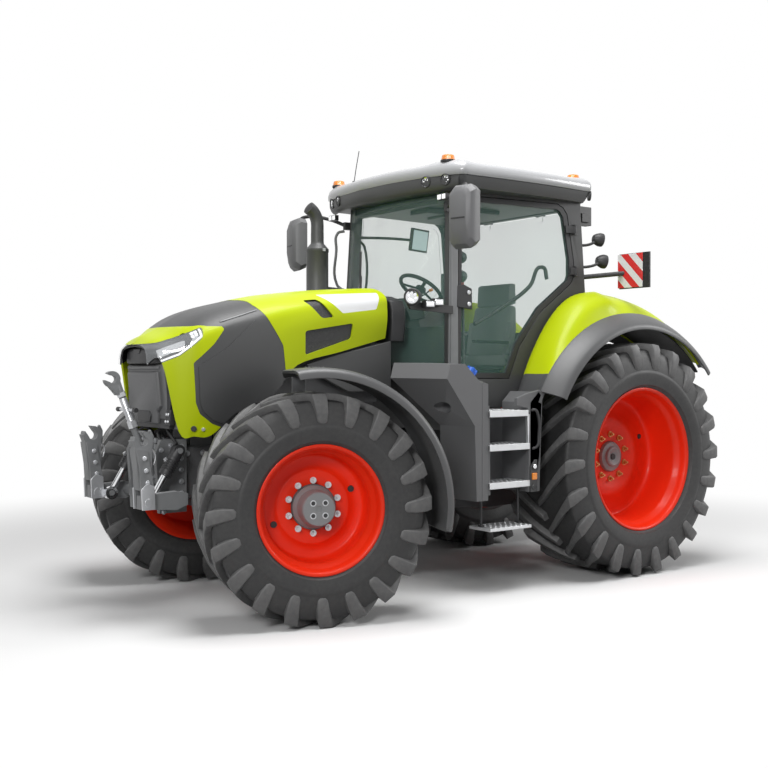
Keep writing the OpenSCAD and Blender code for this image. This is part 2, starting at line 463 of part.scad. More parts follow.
module exhaust() color([0.12, 0.12, 0.125]) {
  c = [1960, -565];
  translate([c[0], c[1], 1620]) cylinder(r = 60, h = 300);
  translate([c[0], c[1], 1900]) cylinder(r = silencer_r, h = 770);
  translate([c[0], c[1], 2669]) cylinder(r1 = silencer_r, r2 = 60, h = 40);
  translate([c[0], c[1], 2700]) cylinder(r = 54, h = 175);
  translate([c[0] + 150, c[1], 2870]) rotate([90, 0, 0]) rotate([0, 0, 115]) rotate_extrude(angle = 65) translate([150, 0]) circle(r = 56);
  translate([c[0], -412, 1680]) rotate([90, 0, 0]) cylinder(r = 55, h = 120);
  difference() {
    bar([1588, -676, 2350], [1900, -590, 2350], 16);
    cab_posts();
  }
}
module mirrors() color([0.25, 0.26, 0.27]) both() {
  difference() {
    bar([1520, 600, 2890], [1770, 1100, 2960], 17);
    cab_side() box([-1000, -400, 0], [200, 0, 1600]);
  }
  bar([1770, 1100, 2975], [1770, 1100, 2560], 14);
  translate([1775, 1105, 2530]) rotate([0, 0, 12]) xz([[-20, 40], [30, 0], [90, 30], [110, 250], [90, 440], [30, 465], [-20, 440]], -110, 110);
}
module side_tanks() color([0.3, 0.31, 0.32]) { tank_brackets(); tank_pair(); }
tank_out = [[1575, 705], [1688, 705], [1706, 1255], [1970, 1600], [1940, 1704], [1800, 1706], [1655, 1575], [1575, 1560]];
tank_in = [[1575, 705], [1700, 705], [1722, 1250], [2190, 1606], [2160, 1716], [1800, 1716], [1690, 1700], [1672, 1560]];
module tank_pair() both() {
  difference() {
    solid([[for (p = tank_out) [p[0], 1118, p[1]]], [for (p = tank_in) [p[0], 742, p[1]]]]);
    translate([1887, 960, 1427]) rotate([0, 127.4, 0]) translate([0, 0, -26]) cylinder(r = 74, h = 200);
  }
  // filler cap
  bar([1715, 1040, 1604], [1666, 1040, 1667], 42);
}
module tank_brackets() both() box([1650, 190, 800], [1690, 760, 860]);
module steps() color([0.6, 0.61, 0.62]) {
  for (p = [[1320, 820], [1070, 850], [790, 880]]) box([1160, p[1], p[0]], [1575, 1130, p[0] + 40]);
  xz([[1110, 740], [1160, 740], [1160, 1420], [1070, 1500], [1030, 1460]], 815, 1130);
  box([1150, 800, 740], [1575, 820, 1368]);
  box([1150, 900, 470], [1570, 1140, 500]);
  for (x = [1170, 1550]) bar([x, 1010, 490], [x, 1010, 800], 10);
}
module work_lamps() color([0.12, 0.12, 0.125]) both() difference() {
  union() {
    box([110, 706, 2860], [270, 780, 3030]);
    bar([290, 780, 2700], [130, 880, 2740], 14);
    translate([100, 880, 2740]) rotate([0, 90, 0]) cylinder(r = 56, h = 60);
    bar([290, 780, 2500], [110, 900, 2560], 14);
    translate([80, 900, 2560]) rotate([0, 90, 0]) cylinder(r = 60, h = 60);
  }
  cab_posts();
}
module warning_signs() both() {
  color([0.12, 0.12, 0.125]) difference() {
    union() {
      bar([310, 790, 2420], [-8, 1040, 2460], 20);
      box([-16, 985, 2330], [0, 1306, 2620]);
    }
    cab_posts();
  }
  color([0.9, 0.9, 0.9]) box([0, 975, 2335], [8, 1240, 2617]);
}

// front linkage

barrel_pin = [wheelbase + 700, 330, 1120];
rod_pin = [front_pivot[0] + 160, 330, 790];
eye_play = 8.8;           // room in the rod's eye, where the ram's loop is open
ram_dir = (rod_pin - barrel_pin) / norm(rod_pin - barrel_pin);
// hook round a bore at [x, z], open towards an angle above straight ahead, on the shank given as a child
module claw(x, z, r, outer, y0, y1, open) difference() {
  union() { children(); rod_y(x, z, outer, y0, y1); }
  rod_y(x, z, r, y0 - 50, y1 + 50);
  translate([x, 0, z]) rotate([0, -open, 0]) box([0, y0 - 50, 2 - r], [outer + 60, y1 + 50, r - 2]);
}
module linkage_frame() color([0.36, 0.37, 0.38]) {
  both() difference() {
    xz([[wheelbase + 590, 690], [wheelbase + 790, 690], [wheelbase + 800, 860], [wheelbase + 820, 1100], [wheelbase + 780, 1190], [wheelbase + 590, 1190]], 200, 240);
    rod_y(front_pivot[0], front_pivot[2], 41, 150, 300);
  }
  box([wheelbase + 590, -200, 850], [wheelbase + 640, 200, 1190]);
  both() box([wheelbase + 640, 60, 1060], [wheelbase + 850, 90, 1170]);
  both() rod_y(barrel_pin[0], barrel_pin[2], 20, 240, 370);
  // top link, stowed upright
  bar([wheelbase + 810, 0, 1115], [wheelbase + 985, 0, 1560], 24);
  rod_y(wheelbase + 810, 1115, 18, -90, 90);
  rod_y(wheelbase + 810, 1115, 42, -30, 30);
  claw(wheelbase + 1030, 1600, 26, 56, -22, 22, 20)
    xz([[wheelbase + 945, 1500], [wheelbase + 1000, 1490], [wheelbase + 1070, 1570], [wheelbase + 986, 1620]], -22, 22);
}
module front_arms() color([0.4, 0.41, 0.42]) {
  rod_y(front_pivot[0], front_pivot[2], 40, -440, 440);
  both() {
    difference() {
      xz([[front_pivot[0] - 55, 765], [front_pivot[0] + 20, 735], [front_pin[0] + 40, 755], [front_pin[0] + 40, 845], [front_pivot[0] + 20, 860], [front_pivot[0] - 55, 840]], 390, 450);
      rod_y(front_pin[0], front_pin[2], 20.4, 300, 500);
    }
    rod_y(rod_pin[0], rod_pin[2], 20, 295, 400);
  }
}
module front_links() color([0.62, 0.63, 0.64]) both() {
  for (y = [360, 456]) xz([[front_pin[0] - 40, 760], [front_pin[0] + 40, 760], [front_pin[0] + 55, 1000], [front_pin[0] + 78, 752 + front_link_len], [front_pin[0] + 4, 740 + front_link_len], [front_pin[0] - 40, 900]], y, y + 24);
  rod_y(front_pin[0], front_pin[2], 20, 360, 480);
  claw(front_pin[0] + 20, 800 + front_link_len, 32, 66, 384, 456, 55)
    xz([[front_pin[0] - 38, 880], [front_pin[0] + 48, 880], [front_pin[0] + 80, 760 + front_link_len], [front_pin[0] + 97, 806 + front_link_len],
      [front_pin[0] + 40, 806 + front_link_len], [front_pin[0] - 40, 780 + front_link_len]], 384, 456);
}
module ram_barrels() color([0.14, 0.145, 0.15]) both() difference() {
  union() {
    rod_y(barrel_pin[0], barrel_pin[2], 40, 300, 360);
    bar(barrel_pin, barrel_pin + 190 * ram_dir, 42);
  }
  rod_y(barrel_pin[0], barrel_pin[2], 20.4, 250, 400);
  bar(barrel_pin + 60 * ram_dir, barrel_pin + 195 * ram_dir, 22);
}
module ram_rods() color([0.8, 0.81, 0.82]) both() {
  bar(barrel_pin + 80 * ram_dir, rod_pin - 34 * ram_dir, 21.5);
  difference() {
    rod_y(rod_pin[0], rod_pin[2], 46, 305, 355);
    rod_y(rod_pin[0], rod_pin[2], 20 + eye_play, 250, 400);
  }
}
// rear linkage

link_dir = [-cos(link_drop), 0, -sin(link_drop)];
lift_at = 520;            // along the lower link to the lift rod, and length of a lift arm
module rear_link(s) color([0.3, 0.31, 0.32]) side(s) difference() {
  union() {
    bar(low_pin, ball_end, 34);
    for (p = [low_pin, ball_end]) rod_y(p[0], p[2], 52, p[1] - 26, p[1] + 26);
    translate(low_pin + lift_at * link_dir) rod_y(0, 0, 22, -112, 40);
  }
  rod_y(low_pin[0], low_pin[2], 20.4, 400, 560);
  rod_y(ball_end[0], ball_end[2], 18.7, 400, 560);
}
lift_eye = lift_pin + lift_at * link_dir;
rod_foot = low_pin + lift_at * link_dir;
module lift_arms() color([0.3, 0.31, 0.32]) {
  rod_y(lift_pin[0], lift_pin[2], 45, -325, 325);
  both() {
    translate(lift_pin) rotate([0, -link_drop, 0]) box([-lift_at - 40, 0, -52], [62, 40, 52]);
    rod_y(lift_eye[0], lift_eye[2], 20, 330, 430);
  }
}
module lift_rods() color([0.4, 0.41, 0.42]) both() difference() {
  union() {
    for (p = [lift_eye, rod_foot]) rod_y(p[0], p[2], 42, 378, 412);
    bar([lift_eye[0], 395, lift_eye[2]], [rod_foot[0], 395, rod_foot[2]], 22);
  }
  rod_y(lift_eye[0], lift_eye[2], 20.4, 300, 500);
  rod_y(rod_foot[0], rod_foot[2], 22.4, 300, 500);
}
module hitch() color([0.24, 0.25, 0.26]) {
  both() box([-440, 60, 980], [-330, 90, 1120]);
  rod_y(-400, 1060, 13, -98, 98);
  // top link, stowed upright
  difference() {
    union() {
      bar([-400, 0, 1060], [-430, 0, 1690], 26);
      rod_y(-400, 1060, 42, -30, 30);
      rod_y(-430, 1690, 45, -26, 26);
    }
    rod_y(-430, 1690, 16, -60, 60);
  }
  both() box([-420, 200, 380], [-330, 240, 760]);
  box([-420, -240, 560], [-330, 240, 600]);
  difference() {
    box([-700, -45, 430], [-100, 45, 480]);
    translate([-650, 0, 400]) cylinder(r = 16.5, h = 120);
  }
  box([-330, -60, 480], [-100, 60, 520]);
  translate([-480, 0, 720]) rotate([0, 90, 0]) cylinder(r = 17.5, h = 150);
  translate([-340, 0, 720]) rotate([0, 90, 0]) cylinder(r = 70, h = 10);
  both() {
    box([-260, 400, 590], [-60, 440, 690]);
    box([-260, 520, 590], [-60, 560, 690]);
    box([-110, 190, 585], [-50, 565, 695]);
    rod_y(low_pin[0], low_pin[2], 20, 394, 568);
  }
}

translate([-mid_x, -mid_y, 0]) {
  front_frame();
  engine_block();
  transmission();
  front_axle();
  knuckle(1);  // knuckle_left
  knuckle(-1);  // knuckle_right
  tie_rod();
  front_rim(1);  // front_rim_left
  front_rim(-1);  // front_rim_right
  front_tyre(1);  // front_tyre_left
  front_tyre(-1);  // front_tyre_right
  rear_rim(1);  // rear_rim_left
  rear_rim(-1);  // rear_rim_right
  rear_tyre(1);  // rear_tyre_left
  rear_tyre(-1);  // rear_tyre_right
  front_fender(1);  // front_fender_left
  front_fender(-1);  // front_fender_right
  rear_fenders();
  fender_flares();
  hood_shell();
  hood_dark();
  hood_panels();
  headlamps();
  grilles();
  hood_shields();
  cab_base();
  cab_frame();
  cab_glass();
  rear_window();
  door_frame();
  door_glass();
  roof_top();
  roof_band();
  beacons();
  seat();
  console();
  exhaust();
  mirrors();
  side_tanks();
  steps();
  work_lamps();
  warning_signs();
  linkage_frame();
  front_arms();
  front_links();
  ram_barrels();
  ram_rods();
  rear_link(1);  // rear_link_left
  rear_link(-1);  // rear_link_right
  lift_arms();
  lift_rods();
  hitch();
}
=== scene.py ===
# %% [markdown]
# # A farm tractor, dressed over its CAD frame
# The frame gives every solid of the tractor at its true place and size. This
# lesson puts the surfaces on it that the eye looks for: lugged tyres, a lofted
# hood with its panel joints, a glazed cab with a padded seat, and cast iron,
# plastic, rubber and paint that each answer light in their own way.

# %% Load the frame
import json
from math import atan2, cos, pi, radians, sin, tan

import bmesh
import bpy
from mathutils import Matrix, Vector

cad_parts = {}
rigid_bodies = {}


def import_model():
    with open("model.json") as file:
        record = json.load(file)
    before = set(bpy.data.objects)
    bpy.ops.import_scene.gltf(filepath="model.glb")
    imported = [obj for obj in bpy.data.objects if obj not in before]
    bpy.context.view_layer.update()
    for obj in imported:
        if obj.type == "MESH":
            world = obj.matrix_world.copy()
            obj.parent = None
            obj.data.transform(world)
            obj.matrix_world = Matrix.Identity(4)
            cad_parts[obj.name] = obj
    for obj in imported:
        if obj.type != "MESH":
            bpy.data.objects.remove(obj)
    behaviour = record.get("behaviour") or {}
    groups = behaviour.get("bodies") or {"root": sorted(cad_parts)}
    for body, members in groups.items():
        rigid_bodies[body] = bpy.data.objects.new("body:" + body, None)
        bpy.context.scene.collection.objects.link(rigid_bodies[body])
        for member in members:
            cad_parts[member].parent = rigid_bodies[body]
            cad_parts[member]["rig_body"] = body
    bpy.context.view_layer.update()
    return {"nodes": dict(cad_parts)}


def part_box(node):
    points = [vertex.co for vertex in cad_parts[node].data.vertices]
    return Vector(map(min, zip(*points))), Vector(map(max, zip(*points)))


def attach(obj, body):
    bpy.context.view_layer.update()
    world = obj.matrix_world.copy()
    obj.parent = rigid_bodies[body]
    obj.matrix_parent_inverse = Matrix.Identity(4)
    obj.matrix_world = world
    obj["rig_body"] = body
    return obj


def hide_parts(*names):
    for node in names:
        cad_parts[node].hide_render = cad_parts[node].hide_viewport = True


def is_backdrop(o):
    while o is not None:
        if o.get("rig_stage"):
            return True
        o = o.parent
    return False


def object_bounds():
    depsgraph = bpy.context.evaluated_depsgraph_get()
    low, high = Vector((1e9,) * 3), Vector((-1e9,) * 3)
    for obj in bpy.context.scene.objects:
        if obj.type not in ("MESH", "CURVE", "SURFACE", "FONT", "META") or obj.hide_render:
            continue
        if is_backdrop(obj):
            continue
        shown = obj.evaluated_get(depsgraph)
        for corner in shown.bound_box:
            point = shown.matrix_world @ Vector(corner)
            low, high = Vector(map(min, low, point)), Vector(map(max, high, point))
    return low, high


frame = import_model()
nodes = frame["nodes"]

# %% [markdown]
# The tractor was measured in millimetres from the middle of its rear axle, at
# ground level. `mm` turns such a measure into a place in the frame, which has its
# own middle. The rear rims tell where the axle is. `own` only changes the unit, for
# shapes that are made about their own origin and placed afterwards.

# %% Places in millimetres from the rear axle
rim_low, rim_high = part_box("rear_rim_left")
AXLE_X = (rim_low.x + rim_high.x) / 2
MIDDLE_Y = (rim_high.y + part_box("rear_rim_right")[0].y) / 2


def mm(x, y, z):
    return Vector((x / 1000 + AXLE_X, y / 1000 + MIDDLE_Y, z / 1000))


def own(x, y, z):
    return Vector((x, y, z)) / 1000


WHEELBASE = 2980
STEER = radians(-18.3)
print("rear axle at x =", round(AXLE_X, 4), "middle at y =", round(MIDDLE_Y, 4))

# %% [markdown]
# ## Camera, floor and light
# The camera stands where the photographer stood, at about the height of the hood's
# nose. The background is white because the world and the far floor are white to the
# camera, to mirrors and through glass; the light that reaches the object is
# softer than that, so that a colour looks as it is written.


# %% Camera
def put(name, data):
    obj = bpy.data.objects.new(name, data)
    bpy.context.collection.objects.link(obj)
    return obj


CAMERA_PLACE = (7013.4, 7070.4, 1662.5)
CAMERA_TILT, CAMERA_HEADING = 89.2727, 143.0253
SENSOR_WIDTH, FOCAL_LENGTH = 36, 51.38
camera = put("camera", bpy.data.cameras.new("camera"))
camera.location = mm(*CAMERA_PLACE)
camera.rotation_euler = (radians(CAMERA_TILT), 0, radians(CAMERA_HEADING))
camera.data.sensor_width, camera.data.lens, camera.data.clip_end = SENSOR_WIDTH, FOCAL_LENGTH, 200
bpy.context.scene.camera = camera
bpy.context.scene.view_settings.view_transform = "Standard"
print("camera", camera.location)

# %% [markdown]
# Shader maths reads best as arithmetic. `Wire` wraps one socket, and adding or
# multiplying wires adds the Math nodes. `Finish` is one material: its `node` method
# makes any other node from its type, its settings and its inputs.


# %% Shader arithmetic
OBJECT_COORDINATES = 3


class Wire:
    def __init__(self, tree, socket):
        self.tree, self.socket = tree, socket

    def math(self, operation, *values):
        node = self.tree.nodes.new("ShaderNodeMath")
        node.operation = operation
        for slot, value in zip(node.inputs, values):
            if isinstance(value, Wire):
                self.tree.links.new(value.socket, slot)
            else:
                slot.default_value = value
        return Wire(self.tree, node.outputs[0])

    def __add__(self, other):
        return self.math("ADD", self, other)

    def __sub__(self, other):
        return self.math("SUBTRACT", self, other)

    def __rsub__(self, other):
        return self.math("SUBTRACT", other, self)

    def __mul__(self, other):
        return self.math("MULTIPLY", self, other)

    def __gt__(self, other):
        return self.math("GREATER_THAN", self, other)

    def __lt__(self, other):
        return self.math("LESS_THAN", self, other)

    __radd__ = __add__
    __rmul__ = __mul__


class Finish:
    def __init__(self, name, tree=None):
        if tree is None:
            self.material = bpy.data.materials.new(name)
            self.material.use_nodes = True
            tree = self.material.node_tree
            tree.nodes.clear()
        self.tree = tree

    def node(self, kind, settings=None, out=0, **inputs):
        node = self.tree.nodes.new(kind)
        for key, value in (settings or {}).items():
            setattr(node, key, value)
        for key, value in inputs.items():
            slot = node.inputs[int(key[1:])] if key[1:].isdigit() else node.inputs[key.replace("_", " ")]
            if isinstance(value, Wire):
                self.tree.links.new(value.socket, slot)
            else:
                slot.default_value = value
        return Wire(self.tree, node.outputs[out])

    def place(self, scale=(1, 1, 1)):
        spot = self.node("ShaderNodeTexCoord", out=OBJECT_COORDINATES)
        return self.node("ShaderNodeMapping", Vector=spot, Scale=scale)

    def noise(self, scale, detail=3, rough=0.55):
        return self.node("ShaderNodeTexNoise", Vector=self.place(), Scale=scale, Detail=detail, Roughness=rough)

    def mix(self, factor, low, high):
        return self.node("ShaderNodeMix", {"data_type": "RGBA"}, out=2, i0=factor, i6=paint(low), i7=paint(high))

    def bump(self, height, strength, distance=0.001):
        return self.node("ShaderNodeBump", Height=height, Strength=strength, Distance=distance)

    def done(self, shader):
        end = self.tree.nodes.new("ShaderNodeOutputMaterial")
        self.tree.links.new(shader.socket, end.inputs[0])
        return self.material


def paint(colour):
    return colour if isinstance(colour, Wire) else (*colour, 1)


print("shader helpers ready")


# %% World, floor and lamps
CAMERA_RAY, GLOSSY_RAY, TRANSMISSION_RAY = 0, 3, 6
AMBIENT, FAR_GLOW = 0.18, 0.28
FLOOR_TONE, FLOOR_SHOWN = (0.32, 0.32, 0.32), (0.86, 0.86, 0.86)
FLOOR_SIZE, FADE_FROM, FADE_TO = 60, 3.2, 7.5
PURE_WHITE = (1, 1, 1, 1)


def looked_at(finish):
    rays = [finish.node("ShaderNodeLightPath", out=i) for i in (CAMERA_RAY, GLOSSY_RAY, TRANSMISSION_RAY)]
    return finish.node("ShaderNodeMath", {"operation": "ADD", "use_clamp": True}, i0=rays[0] + rays[1], i1=rays[2])


def as_mesh(bm, name="stock"):
    mesh = bpy.data.meshes.new(name)
    bm.to_mesh(mesh)
    bm.free()
    return mesh


world = bpy.data.worlds.new("studio")
bpy.context.scene.world = world
world.use_nodes = True
world.node_tree.nodes.clear()
sky = Finish("studio", world.node_tree)
back = sky.node("ShaderNodeBackground", Color=PURE_WHITE, Strength=AMBIENT + looked_at(sky) * (1 - AMBIENT))
ending = world.node_tree.nodes.new("ShaderNodeOutputWorld")
world.node_tree.links.new(back.socket, ending.inputs[0])

bm = bmesh.new()
bmesh.ops.create_grid(bm, x_segments=1, y_segments=1, size=FLOOR_SIZE)
floor = put("studio_floor", as_mesh(bm, "studio_floor"))
floor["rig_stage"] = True
pale = Finish("pale_floor")
spot = pale.node("ShaderNodeTexCoord", out=OBJECT_COORDINATES)
reach = pale.node("ShaderNodeVectorMath", {"operation": "LENGTH"}, out=1, i0=spot)
fade = pale.node("ShaderNodeMapRange", {"interpolation_type": "SMOOTHSTEP"}, Value=reach, i1=FADE_FROM, i2=FADE_TO)
shown = looked_at(pale)
ground = pale.node("ShaderNodeBsdfDiffuse", Color=pale.mix(shown, FLOOR_TONE, FLOOR_SHOWN))
glow = pale.node("ShaderNodeEmission", Color=PURE_WHITE, Strength=FAR_GLOW + shown * (1 - FAR_GLOW))
floor.data.materials.append(pale.done(pale.node("ShaderNodeMixShader", i0=fade, i1=ground, i2=glow)))


def softbox(name, place, target, size, watts):
    lamp = bpy.data.lights.new(name, "AREA")
    lamp.shape, lamp.size, lamp.energy = "DISK", size, watts
    obj = put(name, lamp)
    obj.location = place
    obj.rotation_euler = (Vector(target) - Vector(place)).to_track_quat("-Z", "Y").to_euler()


softbox("overhead", (0.6, 1.5, 8.5), (0, 0, 1), 5.0, 640)
softbox("front_left", (8.2, 6.4, 5.2), (0.4, 0, 1.4), 3.0, 400)
softbox("rear_left", (-7.5, 5.0, 5.0), (-0.6, 0, 1.4), 3.0, 250)

# %% [markdown]
# ## Finishes
# Most finishes are one recipe with other numbers: two tones that drift into each
# other, a roughness that wanders a little, and a fine grain that only bends the
# light. Lacquer has a clear coat over it, moulded plastic a leathery grain, cast
# iron a coarse skin.


# %% The common recipe
def finish(
    name, tone, drift, rough, spread=0.08, metal=0.0, coat=0.0, gloss=0.5,
    mottle=3.0, grain=400.0, depth=0.2, height=0.0005,
):
    f = Finish(name)
    cloud = f.noise(mottle)
    fine = f.noise(grain, detail=2)
    shader = f.node(
        "ShaderNodeBsdfPrincipled",
        Base_Color=f.mix(cloud, tone, drift),
        Roughness=(rough - spread / 2) + f.noise(mottle * 7) * spread,
        Metallic=metal,
        Specular_IOR_Level=gloss,
        Coat_Weight=coat,
        Coat_Roughness=0.06,
        Normal=f.bump(fine, depth, height),
    )
    return f.done(shader)


LIME = finish(
    "lime_lacquer", (0.46, 0.565, 0.002), (0.50, 0.60, 0.003), 0.42, coat=0.08, gloss=0.2, grain=260, depth=0.05
)
RIM_RED = finish(
    "wheel_lacquer", (0.88, 0.028, 0.005), (0.92, 0.034, 0.006), 0.42, coat=0.1, gloss=0.25, grain=220, depth=0.06
)
SILVER = finish("roof_lacquer", (0.36, 0.365, 0.375), (0.41, 0.415, 0.425), 0.36, coat=0.5, grain=240, depth=0.05)
WHITE = finish("panel_lacquer", (0.76, 0.77, 0.78), (0.82, 0.83, 0.84), 0.30, coat=0.6, grain=240, depth=0.04)
CASTING = finish(
    "painted_casting", (0.085, 0.087, 0.09), (0.115, 0.117, 0.12), 0.55, mottle=9, grain=90, depth=0.45, height=0.002
)
LINK_GREY = finish(
    "linkage_paint", (0.17, 0.175, 0.18), (0.23, 0.235, 0.24), 0.45, mottle=8, grain=140, depth=0.3, height=0.001
)
STEEL = finish(
    "bright_steel", (0.52, 0.53, 0.55), (0.64, 0.65, 0.67), 0.30, metal=0.6, mottle=12, grain=500, depth=0.1
)
CHROME = finish(
    "polished_rod", (0.70, 0.71, 0.73), (0.78, 0.79, 0.80), 0.12, spread=0.05, metal=1.0, grain=600, depth=0.03
)
ALLOY = finish(
    "tread_alloy", (0.62, 0.63, 0.64), (0.72, 0.73, 0.74), 0.42, metal=0.75, mottle=20, grain=350, depth=0.25
)
BLACK = finish("black_plastic", (0.016, 0.016, 0.017), (0.024, 0.024, 0.026), 0.48, grain=500, depth=0.3)
SEAL = finish("black_rubber", (0.012, 0.012, 0.013), (0.02, 0.02, 0.021), 0.62, grain=300, depth=0.2)
HUB_GREY = finish("hub_paint", (0.23, 0.235, 0.24), (0.27, 0.275, 0.28), 0.48, mottle=10, grain=180, depth=0.2)
NUT_PLATE = finish(
    "nut_plating", (0.50, 0.24, 0.09), (0.60, 0.30, 0.12), 0.34, metal=0.85, mottle=30, grain=500, depth=0.1
)
BLUE_CAP = finish("blue_plastic", (0.015, 0.10, 0.50), (0.02, 0.13, 0.58), 0.38, grain=400, depth=0.15)
print("plain finishes:", len(bpy.data.materials))

# %% [markdown]
# The grey panels of the body are moulded with a pebbled grain, which a cell
# pattern gives better than a cloud. Tyre rubber is one rubber in two tones: the carcass
# is painted nearly black, as painted shade in the gaps between the lugs, and the lugs
# greyer, as painted light on their faces. Dust lies in patches on both.


# %% Moulded plastic and tyre rubber
def moulded(name, tone, drift, rough):
    f = Finish(name)
    pebble = f.node("ShaderNodeTexVoronoi", Vector=f.place(), Scale=420.0)
    cloud = f.noise(2.5)
    shader = f.node(
        "ShaderNodeBsdfPrincipled",
        Base_Color=f.mix(cloud, tone, drift),
        Roughness=(rough - 0.05) + f.noise(30) * 0.1,
        Normal=f.bump(pebble, 0.16, 0.0006),
    )
    return f.done(shader)


PANEL_GREY = moulded("grey_panel", (0.050, 0.051, 0.052), (0.058, 0.059, 0.060), 0.46)
TANK_GREY = moulded("tank_panel", (0.125, 0.126, 0.130), (0.145, 0.146, 0.150), 0.48)
FENDER_GREY = moulded("fender_plastic", (0.072, 0.073, 0.075), (0.084, 0.085, 0.087), 0.42)


def rubber(name, patch, speck, veil, clean, dusty, rough, grain):
    f = Finish(name)
    dust = f.noise(patch, detail=6, rough=0.6) * f.noise(speck, detail=2)
    shader = f.node(
        "ShaderNodeBsdfPrincipled",
        Base_Color=f.mix(dust * veil, clean, dusty),
        Roughness=rough + f.noise(14) * 0.20,
        Normal=f.bump(f.noise(grain, detail=2), 0.25, 0.0006),
    )
    return f.done(shader)


# carcass, sidewalls included, darker and lugs lighter: painted shade between the lugs, painted light on the lug faces;
# the dust patches are real
SHADED_CARCASS_RUBBER = rubber("tyre_rubber_painted_shade", 5, 38, 1.5, (0.011, 0.0115, 0.0125), (0.045, 0.044, 0.043), 0.42, 700)
LIT_LUG_RUBBER = rubber("lug_rubber_painted_light", 6, 30, 1.6, (0.066, 0.0665, 0.068), (0.165, 0.163, 0.161), 0.40, 600)
print("moulded plastics and rubber ready")

# %% [markdown]
# Glass on a cab is a thin tinted sheet. A see-through surface of low roughness, with a
# green-grey tint, passes the view and still mirrors the bright room.


# %% Glass, lenses and lamps
def see_through(name, tone, alpha):
    f = Finish(name)
    veil = alpha + f.noise(1.5) * 0.03
    return f.done(f.node("ShaderNodeBsdfPrincipled", Base_Color=(*tone, 1), Roughness=0.03, Alpha=veil, IOR=1.5))


GLASS = see_through("tinted_glass", (0.20, 0.39, 0.33), 0.115)
LENS = see_through("clear_lens", (0.55, 0.58, 0.60), 0.16)


def lit(name, tone, glow, strength, rough=0.2):
    f = Finish(name)
    ribs = f.noise(300, detail=1)
    shader = f.node(
        "ShaderNodeBsdfPrincipled",
        Base_Color=f.mix(f.noise(40), tone, tuple(c * 0.8 for c in tone)),
        Roughness=rough,
        Emission_Color=(*glow, 1),
        Emission_Strength=strength,
        Coat_Weight=0.8,
        Normal=f.bump(ribs, 0.1),
    )
    return f.done(shader)


# a weak emission makes every amber part glow faintly: painted glow, not a lit lamp
AMBER_PAINTED_GLOW = lit("amber_lens_painted_glow", (0.85, 0.26, 0.008), (0.9, 0.25, 0.01), 0.18)
LED = lit("led_strip", (0.9, 0.92, 0.95), (1, 1, 1), 0.55)
REFLECTOR = finish("lamp_reflector", (0.72, 0.73, 0.75), (0.80, 0.81, 0.82), 0.12, metal=1.0, grain=120, depth=0.2)
MIRROR = finish(
    "mirror_glass", (0.70, 0.74, 0.76), (0.74, 0.78, 0.80), 0.05, spread=0.02, metal=1.0, grain=50, depth=0.01
)
SCREEN = lit("screen", (0.42, 0.55, 0.55), (0.60, 0.78, 0.78), 0.45, rough=0.12)
print("glass and lamps ready")

# %% [markdown]
# ## Making pieces
# A piece starts as a bmesh. `part` turns it into an object at the origin, lets it
# ride on a body of the frame, and hides the CAD nodes it stands for. A Bevel
# modifier rounds the sharp edges, because no real edge is a knife.


# %% From bmesh to piece
SAME_PLACE = 2e-5


def part(name, bm, finishes, body, stands_for=(), bevel=0.0, steps=2, crease=35, outward=True):
    if outward:
        bmesh.ops.recalc_face_normals(bm, faces=bm.faces)
    mesh = as_mesh(bm, name)
    obj = put(name, mesh)
    for one in finishes if isinstance(finishes, (list, tuple)) else [finishes]:
        mesh.materials.append(one)
    mesh.shade_smooth()
    mesh.set_sharp_from_angle(angle=radians(crease))
    if bevel:
        edge = obj.modifiers.new("edges", "BEVEL")
        edge.width, edge.segments, edge.profile = bevel, steps, 0.5
        edge.limit_method, edge.angle_limit = "ANGLE", radians(crease)
    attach(obj, body)
    if stands_for:
        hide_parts(*stands_for)
    return obj


def body_of(node):
    return nodes[node]["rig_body"]


def dressed(node, finishes, bevel=0.004, steps=2):
    bm = bmesh.new()
    bm.from_mesh(nodes[node].data)
    bmesh.ops.remove_doubles(bm, verts=bm.verts, dist=SAME_PLACE)
    bmesh.ops.dissolve_limit(bm, angle_limit=radians(1.2), verts=bm.verts, edges=bm.edges)
    return part(node + "_skin", bm, finishes, body_of(node), [node], bevel, steps, crease=32, outward=False)


def moved(bm, verts, place, turn=None):
    if turn is not None:
        bmesh.ops.transform(bm, matrix=turn, verts=verts)
    bmesh.ops.translate(bm, vec=place, verts=verts)
    return verts


def slab(bm, outline, lift, tone=0):
    verts = [bm.verts.new(p) for p in outline]
    face = bm.faces.new(verts)
    face.material_index = tone
    made = bmesh.ops.extrude_face_region(bm, geom=[face], use_keep_orig=True)["geom"]
    top = [g for g in made if isinstance(g, bmesh.types.BMVert)]
    bmesh.ops.translate(bm, vec=lift, verts=top)
    for g in made:
        if isinstance(g, bmesh.types.BMFace):
            g.material_index = tone
    return verts + top


def side_slab(bm, outline, y0, y1, tone=0):
    return slab(bm, [mm(x, y0, z) for x, z in outline], own(0, y1 - y0, 0), tone)


def toned(verts, tone):
    for face in {f for v in verts for f in v.link_faces}:
        face.material_index = tone
    return verts


def block(bm, corner, other, tone=0):
    low, high = Vector(map(min, corner, other)), Vector(map(max, corner, other))
    made = bmesh.ops.create_cube(bm, size=1)["verts"]
    bmesh.ops.scale(bm, vec=own(*(high - low)), verts=made)
    bmesh.ops.translate(bm, vec=own(*(low + high)) / 2, verts=made)
    return toned(made, tone)


def brick(bm, corner, other, tone=0):
    return moved(bm, block(bm, corner, other, tone), mm(0, 0, 0))


